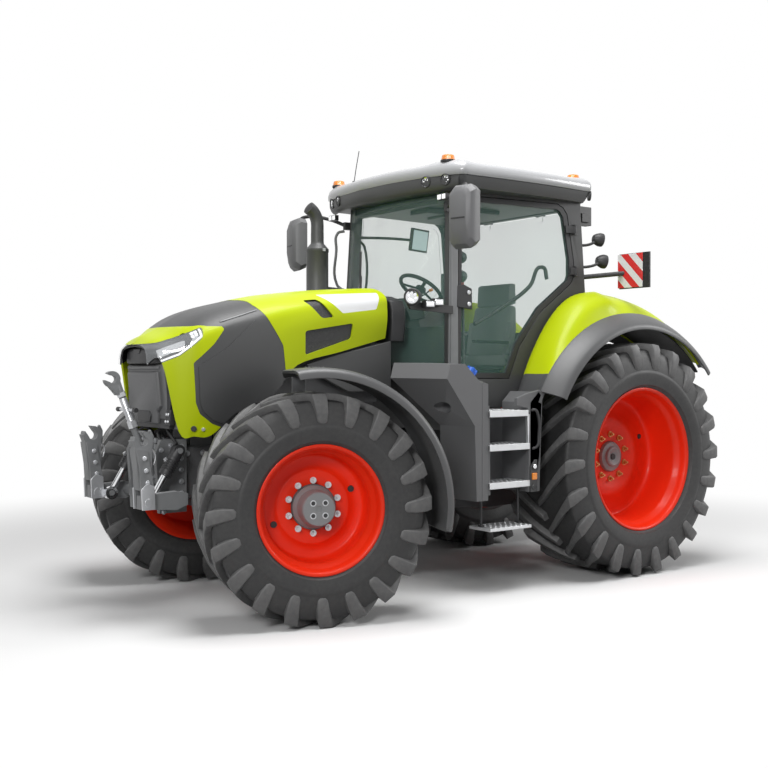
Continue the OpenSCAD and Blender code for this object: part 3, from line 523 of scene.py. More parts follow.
def turned(bm, profile, steps=96, tone=0):
    verts = [bm.verts.new((r, y, 0)) for r, y in profile]
    rim = [bm.edges.new(pair) for pair in zip(verts, verts[1:])]
    before = set(bm.faces)
    bmesh.ops.spin(bm, geom=verts + rim, axis=(0, 1, 0), cent=(0, 0, 0), angle=2 * pi, steps=steps, use_merge=True)
    poles = [v for v in bm.verts if abs(v.co.x) < 1e-6 and abs(v.co.z) < 1e-6]
    bmesh.ops.remove_doubles(bm, verts=poles, dist=1e-6)
    for face in set(bm.faces) - before:
        face.material_index = tone


def nut(bm, place, axis, across, height, tone=0, sides=6):
    made = bmesh.ops.create_cone(
        bm, cap_ends=True, segments=sides, radius1=across / 2, radius2=across / 2 * 0.92, depth=height
    )["verts"]
    moved(bm, made, Vector(place), Vector(axis).to_track_quat("Z", "Y").to_matrix().to_4x4())
    toned(made, tone)


ROUND = {"profile": 0.5, "material": -1, "clamp_overlap": True}


def joined(bm, piece):
    shape = as_mesh(piece)
    bm.from_mesh(shape)
    bpy.data.meshes.remove(shape)


def result_of(obj):
    return bpy.data.meshes.new_from_object(obj.evaluated_get(bpy.context.evaluated_depsgraph_get()))


def pipe(bm, points, radius, sides=12, tone=0, smooth=True):
    line = bpy.data.curves.new("route", "CURVE")
    line.dimensions, line.resolution_u, line.use_fill_caps = "3D", 6, True
    line.bevel_depth, line.bevel_resolution = radius, max(1, sides // 4)
    spline = line.splines.new("BEZIER" if smooth else "POLY")
    knots = spline.bezier_points if smooth else spline.points
    knots.add(len(points) - 1)
    for knot, place in zip(knots, points):
        if smooth:
            knot.co = place
            knot.handle_left_type = knot.handle_right_type = "AUTO"
        else:
            knot.co = (*place, 1)
    holder = put("route", line)
    shape = result_of(holder)
    before = set(bm.faces)
    bm.from_mesh(shape)
    for face in set(bm.faces) - before:
        face.material_index = tone
    bpy.data.objects.remove(holder)
    bpy.data.curves.remove(line)
    bpy.data.meshes.remove(shape)


print("helpers ready")

# %% [markdown]
# ## Tyres
# A farm tyre is a turned carcass with chevron lugs. The carcass is one profile spun
# about the axle. A lug is modelled once, as a small grid whose long way follows the
# carcass from the wall up over the shoulder to the middle of the tread, is given its
# height by an extrusion, and is then spun round as copies. The other side of the
# tread gets the mirrored lug, half a pitch on. The middle of each chevron leads, so
# that the lugs clean themselves when the wheel drives forward.


# %% Carcass and lugs
def carcass(r, lug, width, rim_r, rim_w):
    c, wall = width / 2, r - lug - rim_r
    half = [
        (rim_r + 0.001, rim_w / 2 - 0.016), (rim_r + 0.012, rim_w / 2 - 0.006), (rim_r + 0.028, rim_w / 2 + 0.002),
        (rim_r + 0.14 * wall, 0.925 * c), (rim_r + 0.145 * wall, 0.935 * c), (rim_r + 0.16 * wall, 0.937 * c),
        (rim_r + 0.27 * wall, 0.972 * c), (rim_r + 0.40 * wall, 0.981 * c), (rim_r + 0.455 * wall, 0.982 * c),
        (rim_r + 0.47 * wall, 0.972 * c), (rim_r + 0.50 * wall, 0.970 * c), (rim_r + 0.61 * wall, 0.958 * c),
        (rim_r + 0.80 * wall, 0.922 * c), (rim_r + 0.95 * wall, 0.878 * c), (rim_r + 0.985 * wall, 0.845 * c),
        (r - lug, 0.78 * c), (r - lug + 0.004, 0.5 * c), (r - lug + 0.006, 0.2 * c),
    ]
    inner = [(rim_r + 0.001, rim_w / 2 - 0.06), (rim_r + 0.05, rim_w / 2 - 0.05)]
    inner += [(r - lug - 0.06, 0.8 * c), (r - lug - 0.05, 0.3 * c)]
    ring = half + [(a, -y) for a, y in reversed(half)]
    ring += [(a, -y) for a, y in inner] + list(reversed(inner))
    return ring + ring[:1]


def lug_path(r, lug, width, rim_r):
    c, wall = width / 2, r - lug - rim_r
    # radius and place across of the lug's foot, then of its crest, its half width, how far it leads
    return [
        (rim_r + 0.50 * wall, 0.960 * c, rim_r + 0.515 * wall, 0.984 * c, 0.024, 0.0),
        (rim_r + 0.56 * wall, 0.95 * c, rim_r + 0.57 * wall, 0.998 * c, 0.044, 0.0),
        (rim_r + 0.76 * wall, 0.91 * c, rim_r + 0.77 * wall, 1.0 * c, 0.053, 0.004),
        (rim_r + 0.92 * wall, 0.87 * c, r - 0.040, 0.985 * c, 0.056, 0.014),
        (r - lug - 0.016, 0.82 * c, r - 0.007, 0.945 * c, 0.054, 0.022),
        (r - lug - 0.006, 0.70 * c, r - 0.001, 0.76 * c, 0.045, 0.072),
        (r - lug - 0.002, 0.50 * c, r, 0.50 * c, 0.035, 0.150),
        (r - lug - 0.002, 0.25 * c, r, 0.25 * c, 0.031, 0.232),
        (r - lug - 0.002, -0.03 * c, r, -0.01 * c, 0.028, 0.312),
    ]


def lug_shape(bm, path, r, hand, phase):
    n = len(path)
    verts = bmesh.ops.create_grid(bm, x_segments=n - 1, y_segments=1, size=0.5)["verts"]
    faces = list({f for v in verts for f in v.link_faces})
    made = bmesh.ops.extrude_face_region(bm, geom=faces, use_keep_orig=True)["geom"]
    crest = [g for g in made if isinstance(g, bmesh.types.BMVert)]
    everything = verts + crest
    for group, top in ((verts, False), (crest, True)):
        for v in group:
            step = path[min(n - 1, round((v.co.x + 0.5) * (n - 1)))]
            radius, across = (step[2], step[3]) if top else (step[0], step[1])
            half = step[4] * (0.80 if top else 1.0)
            arc = (1 if v.co.y > 0 else -1) * half - step[5]
            angle = arc / (0.93 * r) + phase
            v.co = (radius * cos(angle), hand * across, radius * sin(angle))
    edges = [e for e in {e for v in crest for e in v.link_edges} if e.calc_face_angle(0) > radians(38)]
    bmesh.ops.recalc_face_normals(bm, faces=list({f for v in everything for f in v.link_faces}))
    return everything, edges


def tyre(node, r, lug, width, rim_r, rim_w, count, place, turn, hand):
    bm = bmesh.new()
    turned(bm, carcass(r, lug, width, rim_r, rim_w), steps=160)
    bmesh.ops.recalc_face_normals(bm, faces=bm.faces)
    path = lug_path(r, lug, width, rim_r)
    pitch = 2 * pi / count
    for way, phase in ((hand, 0.0), (-hand, pitch / 2)):
        lugs = bmesh.new()
        everything, edges = lug_shape(lugs, path, r, way, phase)
        bmesh.ops.bevel(lugs, geom=edges, offset=0.006, segments=2, affect="EDGES", **ROUND)
        bmesh.ops.spin(
            lugs, geom=lugs.verts[:] + lugs.edges[:] + lugs.faces[:], axis=(0, 1, 0), cent=(0, 0, 0),
            angle=2 * pi - pitch, steps=count - 1, use_duplicate=True,
        )
        for face in lugs.faces:
            face.material_index = 1
        joined(bm, lugs)
    moved(bm, bm.verts, place, turn)
    return part(node + "_lugged", bm, [SHADED_CARCASS_RUBBER, LIT_LUG_RUBBER], body_of(node), [node], crease=40)


STEERED = Matrix.Rotation(STEER, 4, "Z")
KINGPIN_Y, FRONT_OFFSET = 840, 125
FRONT_R, REAR_R = 759.5, 942
REAR_Y = 940
FRONT_RIM, FRONT_RIM_WIDTH = 0.403, 0.530
REAR_RIM, REAR_RIM_WIDTH = 0.555, 0.605
SIDES = ((1, "left"), (-1, "right"))


def front_centre(side):
    reach = STEERED @ own(0, side * FRONT_OFFSET, 0)
    return mm(WHEELBASE, side * KINGPIN_Y, FRONT_R) + reach


def rear_centre(side):
    return mm(0, side * REAR_Y, REAR_R)


for side, word in SIDES:
    front = FRONT_R / 1000, 0.047, 0.600, FRONT_RIM, FRONT_RIM_WIDTH, 20
    rear = REAR_R / 1000, 0.052, 0.710, REAR_RIM, REAR_RIM_WIDTH, 22
    made = tyre("front_tyre_" + word, *front, front_centre(side), STEERED, side)
    made = tyre("rear_tyre_" + word, *rear, rear_centre(side), None, side)
    print(made.name, len(made.data.polygons), "faces")

# %% [markdown]
# ## Rims
# A rim is pressed from sheet: a flange that holds the tyre's bead, a stepped well, and
# a dished disc welded inside it. One closed profile spun about the axle gives all three.
# Round the hub sit the wheel nuts on their studs.


# %% Front and rear rims
def wheel_disc(bm, r, w, disc, hole, dish):
    e = w / 2
    face = [(r + 0.001, e - 0.016), (r + 0.018, e - 0.008), (r + 0.0235, e - 0.002), (r + 0.0245, e + 0.004)]
    face += [(r + 0.021, e + 0.0075), (r + 0.012, e + 0.007), (r + 0.002, e + 0.001), (r - 0.006, e - 0.012)]
    face += [(r - 0.010, e - 0.035), (r - 0.013, e - 0.055), (r - 0.020, e - 0.066), (r - 0.040, e - 0.092)]
    face += [(r - 0.045, e - 0.104), (r - 0.046, e - 0.12)]
    face += [(r - 0.046, disc + 0.075), (r - 0.049, disc + 0.055), (r - 0.058, disc + 0.036), (r - 0.070, disc + 0.026)]
    face += dish + [(hole, disc + 0.022), (hole, disc)]
    back = [(r - 0.084, disc), (r - 0.060, disc - 0.040), (r - 0.060, -e + 0.110), (r - 0.030, -e + 0.060)]
    back += [(r - 0.008, -e + 0.006), (r + 0.010, -e - 0.006), (r + 0.024, -e - 0.006), (r + 0.024, -e + 0.003)]
    back += [(r + 0.001, -e + 0.016), (r - 0.004, -e + 0.062), (r - 0.034, -e + 0.112)]
    back += [(r - 0.034, e - 0.112), (r - 0.004, e - 0.062)]
    ring = face + back
    turned(bm, ring + ring[:1], steps=128)


def outboard(bm, side, place, turn):
    if side < 0:
        bmesh.ops.scale(bm, vec=(1, -1, 1), verts=bm.verts)
        bmesh.ops.reverse_faces(bm, faces=bm.faces)
    moved(bm, bm.verts, place, turn)


def wheel_nuts(bm, count, circle, seat, across, tone):
    for i in range(count):
        a = 2 * pi * (i + 0.5) / count
        for lift, share, height, sides in ((0.004, 1.55, 0.008, 20), (0.017, 1.0, 0.022, 6), (0.033, 0.55, 0.018, 12)):
            spot = (circle * cos(a), seat + lift, circle * sin(a))
            nut(bm, spot, (0, 1, 0), across * share, height, tone, sides)


# two black discs stand for round holes in the wheel disc: painted shade for the dark seen through them
def hole_shade_discs(bm, r, y, tone):
    for a in (2.75, 2.75 + pi):
        nut(bm, (r * cos(a), y, r * sin(a)), (0, 1, 0), 0.046, 0.012, tone, sides=20)


FRONT_DISH = [(0.300, 0.034), (0.262, 0.038), (0.250, 0.048), (0.240, 0.052), (0.195, 0.052), (0.150, 0.040)]
REAR_DISH = [(0.440, -0.052), (0.400, -0.050), (0.360, -0.044), (0.330, -0.032)]
REAR_DISH += [(0.300, -0.026), (0.250, -0.030), (0.225, -0.044)]
FRONT_HUB = [(0, 0.200), (0.020, 0.200), (0.022, 0.206), (0.092, 0.208), (0.106, 0.206), (0.113, 0.198), (0.114, 0.190)]
FRONT_HUB += [(0.112, 0.170), (0.118, 0.150), (0.121, 0.094), (0.140, 0.076), (0.148, 0.060), (0.150, 0.036)]
REAR_HUB = [(0, -0.016), (0.030, -0.016), (0.044, -0.010), (0.058, 0.000), (0.070, 0.004), (0.080, -0.002)]
REAR_HUB += [(0.086, -0.020), (0.118, -0.028), (0.126, -0.040), (0.128, -0.062)]
STUB = 0.060

for side, word in SIDES:
    bm = bmesh.new()
    wheel_disc(bm, FRONT_RIM, FRONT_RIM_WIDTH, 0.010, STUB, FRONT_DISH)
    hole_shade_discs(bm, 0.285, 0.036, 1)
    outboard(bm, side, front_centre(side), STEERED)
    part("front_rim_%s_pressed" % word, bm, [RIM_RED, SEAL], "wheel_front_" + word, ["front_rim_" + word], crease=50)
    bm = bmesh.new()
    turned(bm, FRONT_HUB, 72)
    for i in range(4):
        a = pi / 4 + i * pi / 2
        for seat, across, height, tone in ((0.206, 0.044, 0.008, 2), (0.209, 0.030, 0.006, 1)):
            nut(bm, (0.058 * cos(a), seat, 0.058 * sin(a)), (0, 1, 0), across, height, tone, sides=24)
    wheel_nuts(bm, 10, 0.175, 0.050, 0.030, 2)
    outboard(bm, side, front_centre(side), STEERED)
    part("front_hub_%s" % word, bm, [HUB_GREY, BLACK, STEEL], "wheel_front_" + word, crease=40)

    bm = bmesh.new()
    wheel_disc(bm, REAR_RIM, REAR_RIM_WIDTH, -0.080, STUB, REAR_DISH)
    hole_shade_discs(bm, 0.40, -0.050, 1)
    outboard(bm, side, rear_centre(side), None)
    part("rear_rim_%s_pressed" % word, bm, [RIM_RED, SEAL], "wheel_rear_" + word, ["rear_rim_" + word], crease=50)
    bm = bmesh.new()
    turned(bm, REAR_HUB, 72)
    wheel_nuts(bm, 10, 0.185, -0.048, 0.034, 1)
    # a black disc at the bottom of the hub's hollow: painted shade in the recess
    nut(bm, (0, -0.012, 0), (0, 1, 0), 0.052, 0.012, 2, sides=24)
    outboard(bm, side, rear_centre(side), None)
    part("rear_hub_%s" % word, bm, [HUB_GREY, NUT_PLATE, SEAL], "wheel_rear_" + word, crease=40)

# %% [markdown]
# ## Hood
# The hood is one flowing form, pressed and moulded in several colours. Its form is a
# loft: half outlines at stations from the cab to the nose, a smooth curve through them
# both ways, and a grid laid over the result. The panels are then cut out of that one
# form, as the real joints cut it, so that they all lie in the same flow.


# %% Curves through points, and a grid laid over rows
def curve_through(points, n):
    last = len(points) - 1
    line = []
    for i in range(last):
        a, b, c, d = points[max(0, i - 1)], points[i], points[i + 1], points[min(last, i + 2)]
        for k in range(n):
            t = k / n
            square, cube = a * 2 - b * 5 + c * 4 - d, b * 3 - a - c * 3 + d
            line.append((b * 2 + (c - a) * t + square * t * t + cube * t**3) * 0.5)
    return line + [points[last]]


def draped(bm, rows):
    m, n = len(rows) - 1, len(rows[0]) - 1
    verts = bmesh.ops.create_grid(bm, x_segments=m, y_segments=n, size=0.5)["verts"]
    for v in verts:
        v.co = rows[round((v.co.x + 0.5) * m)][round((v.co.y + 0.5) * n)]
    return verts


def loft(stations, along, across):
    lines = [curve_through(s, across) for s in stations]
    columns = [curve_through(list(c), along) for c in zip(*lines)]
    return [list(row) for row in zip(*columns)]


HOOD_REAR, HOOD_FRONT = 1980, 3860
HOOD = [
    (0.000, [(400, 1905), (425, 2030), (425, 2130), (400, 2225), (250, 2290), (0, 2305)]),
    (0.223, [(425, 1800), (440, 1960), (440, 2090), (405, 2190), (250, 2258), (0, 2275)]),
    (0.436, [(450, 1700), (460, 1860), (458, 2020), (415, 2130), (260, 2205), (0, 2228)]),
    (0.543, [(460, 1500), (470, 1760), (465, 1960), (425, 2085), (270, 2170), (0, 2196)]),
    (0.702, [(446, 1368), (475, 1640), (470, 1900), (430, 2015), (275, 2105), (0, 2130)]),
    (0.798, [(436, 1222), (465, 1560), (462, 1850), (425, 1960), (275, 2045), (0, 2072)]),
    (0.862, [(418, 1216), (440, 1500), (440, 1790), (405, 1900), (265, 1975), (0, 2008)]),
    (0.915, [(385, 1250), (390, 1480), (376, 1750), (352, 1830), (240, 1905), (0, 1945)]),
    (0.968, [(334, 1716), (328, 1752), (312, 1786), (284, 1822), (190, 1865), (0, 1895)]),
    (1.000, [(232, 1702), (226, 1742), (214, 1776), (186, 1812), (110, 1832), (0, 1838)]),
]


def hood_x(u):
    return HOOD_REAR + u * (HOOD_FRONT - HOOD_REAR)


half_rows = loft([[mm(hood_x(u), y, z) for y, z in side] for u, side in HOOD], 5, 5)
hood_rows = [row + [Vector((p.x, 2 * MIDDLE_Y - p.y, p.z)) for p in reversed(row[:-1])] for row in half_rows]
print("hood rows:", len(hood_rows), "of", len(hood_rows[0]))


# %% [markdown]
# A thin shell of the form is the stock. Prisms drawn in side view are the tools, with
# their corners rounded first, and a Boolean modifier does the cutting.


# %% Stock, tools and cutting
def facing_up(bm):
    bmesh.ops.recalc_face_normals(bm, faces=bm.faces)
    if max(bm.faces, key=lambda f: f.calc_center_median().z).normal.z < 0:
        bmesh.ops.reverse_faces(bm, faces=bm.faces)


def hood_stock(lift=0.0, wall=0.016):
    bm = bmesh.new()
    draped(bm, hood_rows)
    facing_up(bm)
    bm.normal_update()
    for v in bm.verts:
        v.co += v.normal * lift
    bmesh.ops.solidify(bm, geom=bm.faces[:], thickness=wall)
    bmesh.ops.recalc_face_normals(bm, faces=bm.faces)
    return as_mesh(bm)


def prism(bm, outline, lift, corner):
    start = set(bm.verts)
    face = bm.faces.new([bm.verts.new(p) for p in outline])
    if corner:
        bmesh.ops.bevel(bm, geom=list(face.verts), offset=corner, segments=4, affect="VERTICES", **ROUND)
    new = {v for v in bm.verts if v not in start}
    faces = list({f for v in new for f in v.link_faces})
    made = bmesh.ops.extrude_face_region(bm, geom=faces, use_keep_orig=True)["geom"]
    bmesh.ops.translate(bm, vec=lift, verts=[g for g in made if isinstance(g, bmesh.types.BMVert)])


def on_both_sides(bm, outline, corner=0.02, near=150, far=620):
    for s in (1, -1):
        prism(bm, [mm(x, s * near, z) for x, z in outline], own(0, s * (far - near), 0), corner)


def tool(*shapes):
    bm = bmesh.new()
    for shape in shapes:
        shape(bm)
    bmesh.ops.recalc_face_normals(bm, faces=bm.faces)
    return as_mesh(bm, "tool")


def cut(stock, *steps):
    work = put("stock", stock)
    helpers = []
    for operation, shape in steps:
        helper = put("tool", shape)
        saw = work.modifiers.new("saw", "BOOLEAN")
        saw.operation, saw.object, saw.solver, saw.use_self = operation, helper, "EXACT", True
        helpers.append(helper)
    bm = bmesh.new()
    bm.from_mesh(result_of(work))
    for obj in helpers + [work]:
        bpy.data.objects.remove(obj)
    bmesh.ops.remove_doubles(bm, verts=bm.verts, dist=SAME_PLACE)
    return bm


DARK_SIDE = [(3440, 2010), (3395, 1940), (3475, 1838), (3615, 1710), (3600, 1443), (3570, 1367), (3480, 1298)]
DARK_SIDE += [(3400, 1270), (3300, 1250), (2880, 1470), (2930, 1836), (3110, 2120), (3300, 2120)]
DARK_TOP = [(3110, 470), (3440, 470), (3580, 345), (3690, 200), (3712, 0)]
DARK_TOP += [(x, -y) for x, y in reversed(DARK_TOP[:-1])]
WHITE_SIDE = [(2570, 2216), (2030, 2252), (2085, 2120), (2400, 2080)]
VENT_HIGH = [(2720, 2167), (2600, 2178), (2480, 2050), (2590, 2038)]
VENT_LOW = [(2740, 1943), (2305, 2010), (2320, 1895), (2735, 1770)]
LAMP_SIDE = [(3535, 1957), (3548, 1882), (3690, 1755), (3870, 1680), (3900, 1834), (3800, 1846), (3700, 1880)]
DARK_FIELD = [(3586, 1688), (3390, 1806), (3150, 2012), (2968, 1822), (2918, 1492)]
DARK_FIELD += [(3300, 1280), (3400, 1298), (3474, 1324), (3548, 1384), (3572, 1450)]
PAINTED_HIGHLIGHT_LINE = [(3408, 1991), (3110, 2082), (3110, 2088), (3408, 1997)]


def dark_tool():
    top = lambda bm: prism(bm, [mm(x, y, 1960) for x, y in DARK_TOP], own(0, 0, 340), 0.02)
    return tool(lambda bm: on_both_sides(bm, DARK_SIDE, 0.010), top)


def lamp_tool():
    return tool(lambda bm: prism(bm, [mm(x, -620, z) for x, z in LAMP_SIDE], own(0, 1240, 0), 0.02))


def vent_tool():
    return tool(lambda bm: on_both_sides(bm, VENT_HIGH), lambda bm: on_both_sides(bm, VENT_LOW))


def white_tool():
    return tool(lambda bm: on_both_sides(bm, WHITE_SIDE, 0.012))


def thin_tool(corner, *outlines, near=300):
    return tool(*[lambda bm, o=o: on_both_sides(bm, o, corner, near) for o in outlines])


HOOD_CREASE = 42
bm = cut(hood_stock(), *[("DIFFERENCE", shape()) for shape in (dark_tool, lamp_tool, vent_tool, white_tool)])
made = part("hood_lime_skin", bm, LIME, "hood", ["hood_shell"], bevel=0.004, crease=HOOD_CREASE)
print(made.name, len(made.data.polygons), "faces")
bm = cut(hood_stock(-0.002), ("INTERSECT", dark_tool()), ("DIFFERENCE", lamp_tool()))
made = part("hood_dark_skin", bm, PANEL_GREY, "hood", ["hood_dark"], bevel=0.004, crease=HOOD_CREASE)
print(made.name, len(made.data.polygons), "faces")
bm = cut(hood_stock(0.005, 0.010), ("INTERSECT", thin_tool(0.010, DARK_FIELD)))
part("hood_dark_field", bm, PANEL_GREY, "hood", bevel=0.004, crease=HOOD_CREASE)
# a thin lighter grey strip on the shoulder: painted highlight along the edge between the dark top and side panels
bm = cut(hood_stock(0.003, 0.008), ("INTERSECT", thin_tool(0, PAINTED_HIGHLIGHT_LINE)))
part("hood_painted_highlight_line", bm, LINK_GREY, "hood", bevel=0.001, crease=HOOD_CREASE)
bm = cut(hood_stock(), ("INTERSECT", white_tool()))
part("hood_white_panel", bm, WHITE, "hood", ["hood_panels"], bevel=0.003, crease=HOOD_CREASE)
print("hood panels cut")

# %% [markdown]
# The vents are fine mesh behind the skin: a sheet with a net of bars pressed in, its cells painted near black as
# painted shade for the dark space behind the holes.
# The lamps sit in a black band that wraps the nose. On it lie reflectors, small
# square emitters and a bright strip along the lower edge, each cut from the same form so that they
# follow its curve.

# %% Vents, lamp band and what lies on it
f = Finish("vent_mesh_painted_shade")
net = f.node("ShaderNodeTexVoronoi", {"feature": "DISTANCE_TO_EDGE"}, Vector=f.place((1, 0.2, 1)), Scale=150.0)
# near-black cells between the bars: painted shade for the space seen through the mesh
bars_and_shaded_holes = f.mix(net < 0.12, (0.006, 0.006, 0.007), (0.05, 0.05, 0.052))
pressed = f.bump(net < 0.12, 0.8, 0.002)
VENT_MESH = f.done(f.node("ShaderNodeBsdfPrincipled", Base_Color=bars_and_shaded_holes, Roughness=0.5, Normal=pressed))
bm = cut(hood_stock(-0.012, 0.006), ("INTERSECT", vent_tool()))
part("hood_vents", bm, VENT_MESH, "hood", crease=HOOD_CREASE)

LAMP_INSIDE = [(3604, 1880), (3570, 1896), (3592, 1858), (3634, 1822)]
LAMP_OUTSIDE = [(3812, 1796), (3650, 1862), (3660, 1806), (3812, 1742)]
EMITTERS = ((3612, 1912), (3590, 1922), (3612, 1892), (3590, 1904))
STRIP = [(3550, 1944), (3551, 1888), (3690, 1762), (3858, 1692), (3858, 1703), (3694, 1774), (3562, 1894), (3560, 1940)]


def lamp_patch(name, outlines, lift, glow, corner):
    bm = cut(hood_stock(lift, 0.006), ("INTERSECT", thin_tool(corner, *outlines, near=100)))
    part(name, bm, glow, "hood", crease=HOOD_CREASE)


bm = cut(hood_stock(-0.010, 0.012), ("INTERSECT", lamp_tool()))
part("lamp_band", bm, BLACK, "hood", ["headlamps"], bevel=0.002, crease=HOOD_CREASE)
squares = [[(x, z), (x - 16, z + 9), (x - 16, z - 7), (x, z - 16)] for x, z in EMITTERS]
lamp_patch("lamp_reflectors", [LAMP_INSIDE, LAMP_OUTSIDE], -0.006, REFLECTOR, 0.006)
lamp_patch("lamp_emitters", squares, -0.003, LED, 0.002)
lamp_patch("lamp_strip", [STRIP], -0.002, LED, 0.003)
bm = cut(hood_stock(0.0, 0.003), ("INTERSECT", lamp_tool()))
part("lamp_lens", bm, LENS, "hood", crease=HOOD_CREASE)
print("lamp band and vents cut")

# %% [markdown]
# ## Nose
# Between the lamps and the frame sits the cooling air intake: a moulded panel with a
# raised field, a bar across its top, and two pockets at its lower corners.


# %% Intake panel in the nose
def front_plate(bm, outline, x0, x1, tone=0):
    return slab(bm, [mm(x0, y, z) for y, z in outline], own(x1 - x0, 0, 0), tone)


def mirrored(half):
    return half + [(-y, z) for y, z in reversed(half)]


def bridged(bm, rings, tone=0):
    loops = []
    for ring in rings:
        verts = [bm.verts.new(p) for p in ring]
        loops.append([bm.edges.new(pair) for pair in zip(verts, verts[1:] + verts[:1])])
    faces = []
    for a, b in zip(loops, loops[1:]):
        faces += bmesh.ops.bridge_loops(bm, edges=a + b)["faces"]
    for end in (loops[0], loops[-1]):
        faces += bmesh.ops.contextual_create(bm, geom=end)["faces"]
    for face in faces:
        face.material_index = tone


NOSE = hood_x(0.915)
PANEL_TOP, PANEL_LEAN, PANEL_MIDDLE = 1708, 0.09, 1400


def panel_point(x, y, z, drop):
    inward, upward = (-drop if y > 0 else drop), (drop if z < PANEL_MIDDLE else -drop)
    return mm(NOSE + x - PANEL_LEAN * (PANEL_TOP - z), y + inward, z + upward)


bm = bmesh.new()
front_plate(bm, mirrored([(368, 1262), (384, 1480), (372, 1700), (340, 1742)]), NOSE - 62, NOSE + 4)
front_plate(bm, mirrored([(322, 1264), (338, 1480), (330, 1690), (306, 1708)]), NOSE - 20, NOSE + 40, 2)
for steps, half in (
    (((-20, 0), (64, 0), (74, 12)), [(290, 1268), (296, 1420), (290, 1640), (272, 1706)]),
    (((60, 0), (90, 0), (100, 14)), [(176, 1296), (190, 1376), (246, 1420), (240, 1652)]),
):
    bridged(bm, [[panel_point(x, y, z, drop) for y, z in mirrored(half)] for x, drop in steps])
front_plate(bm, mirrored([(252, 1668), (250, 1692)]), NOSE + 60, NOSE + 84)
front_plate(bm, mirrored([(92, 1306), (110, 1352), (92, 1384)]), NOSE + 42, NOSE + 76, 2)
for s in (1, -1):
    front_plate(bm, [(s * 268, 1288), (s * 352, 1288), (s * 358, 1396), (s * 304, 1396)], NOSE + 10, NOSE + 50, 2)
    for y, z in ((296, 1316), (330, 1316), (308, 1364), (336, 1364)):
        nut(bm, mm(NOSE + 53, s * y, z), (1, 0, 0), 0.026, 0.012, 1)
# the intake is the same grey plastic as the hood's dark panels; its lighter tank grey is painted light against the
# shade it stands in
part("nose_intake", bm, [TANK_GREY, STEEL, BLACK], "hood", ["grilles"], bevel=0.005)

INSERT_FOOT = 1706
PLAN = [(-60, 326, 1792), (36, 314, 1798), (76, 276, 1806), (106, 196, 1812), (120, 98, 1816), (124, 0, 1818)]
PLAN += [(x, -y, top) for x, y, top in reversed(PLAN[:-1])]
rows = []
for t, inset in ((0.0, 12), (0.06, 3), (0.3, 0), (0.7, 0), (0.94, 4), (1.0, 12)):
    row = [mm(NOSE + x - inset, y, INSERT_FOOT + (top - INSERT_FOOT) * t) for x, y, top in PLAN]
    rows.append(curve_through(row, 5))
bm = bmesh.new()
draped(bm, rows)
bmesh.ops.recalc_face_normals(bm, faces=bm.faces)
bmesh.ops.solidify(bm, geom=bm.faces[:], thickness=0.012)
front_plate(bm, mirrored([(40, 1776), (56, 1806)]), NOSE + 112, NOSE + 127)
part("nose_insert", bm, BLACK, "hood", bevel=0.002, crease=42)
bm = bmesh.new()
for s in (1, -1):
    nut(bm, mm(3610, s * 427, 1268), (0.35, s, 0), 0.040, 0.012, 0, sides=24)
    nut(bm, mm(3545, s * 438, 1262), (0.2, s, 0), 0.026, 0.014, 1, sides=18)
part("hood_catches", bm, [BLACK, STEEL], "hood", bevel=0.001)
print("intake panel in the nose")

# %% [markdown]
# ## Fenders
# An arched fender is a section swept part of the way round the axle. Its ends are
# rounded by drawing the outer rows in a little. The stay that carries a front one is
# bent from flat bar.


# %% Arches
def arch(bm, section, start, sweep, draw_in=0.0):
    low, high = min(y for r, y in section), max(y for r, y in section)
    verts = [bm.verts.new((r / 1000, y / 1000, 0)) for r, y in section]
    ring = [bm.edges.new((a, b)) for a, b in zip(verts, verts[1:] + verts[:1])]
    about = {"axis": (0, -1, 0), "cent": (0, 0, 0), "angle": radians(sweep)}
    last = bmesh.ops.spin(bm, geom=verts + ring, steps=64, **about)["geom_last"]
    for end in (ring, [g for g in last if isinstance(g, bmesh.types.BMEdge)]):
        bmesh.ops.contextual_create(bm, geom=end)
    for v in bm.verts:
        r, angle = Vector((v.co.x, v.co.z)).length, atan2(v.co.z, v.co.x)
        t = 2 * (v.co.y * 1000 - low) / (high - low) - 1
        middle = radians(sweep) / 2
        angle = middle + (angle - middle) * (1 - draw_in * t**4) + radians(start)
        v.co = (r * cos(angle), v.co.y, r * sin(angle))
    bmesh.ops.recalc_face_normals(bm, faces=bm.faces)


FENDER_R = FRONT_R + 160
outer = [(-44, 4), (-30, 15), (-14, 40), (-4, 66), (0, 94), (0, 160), (0, 240), (0, 320), (0, 376)]
outer += [(-5, 406), (-16, 428), (-36, 440), (-68, 446)]
inner = [(-70, 434), (-40, 427), (-29, 415), (-21, 384), (-20, 320), (-20, 240), (-20, 160), (-20, 98)]
inner += [(-24, 72), (-34, 50), (-48, 28), (-58, 12)]
section = [(FENDER_R + r, y) for r, y in outer + inner]
STAY_FOOT = (-50, -225, 172)
STAY_TOP = ((-60, -225, FENDER_R - 52), (60, 340, FENDER_R - 30))
for side, word in SIDES:
    bm = bmesh.new()
    arch(bm, section, 78, 114, draw_in=0.03)
    for corner, other in ((STAY_FOOT, (50, 45, 197)), (STAY_FOOT, (50, -200, FENDER_R - 32)), STAY_TOP):
        block(bm, corner, other, 1)
    for x in (-34, 34):
        for y in (120, 200, 300):
            nut(bm, own(x, y, FENDER_R + 1), (0, 0, 1), 0.022, 0.008, 1)
    outboard(bm, side, mm(WHEELBASE, side * KINGPIN_Y, FRONT_R), STEERED)
    node = "front_fender_" + word
    part(node + "_arch", bm, [FENDER_GREY, CASTING], "steer_" + word, [node], bevel=0.004, crease=40)
print("front fenders swept")

# %% [markdown]
# The rear fender is a freer shape: its rows stand on rays from the axle, each from the
# cab's side up over the crown and down to the arch. A loft through the rows gives the
# sheet, and the flare is an arch again.

# %% Rear fenders and flares
ARCH_R = REAR_R + 172
RIM_R = ARCH_R + 64
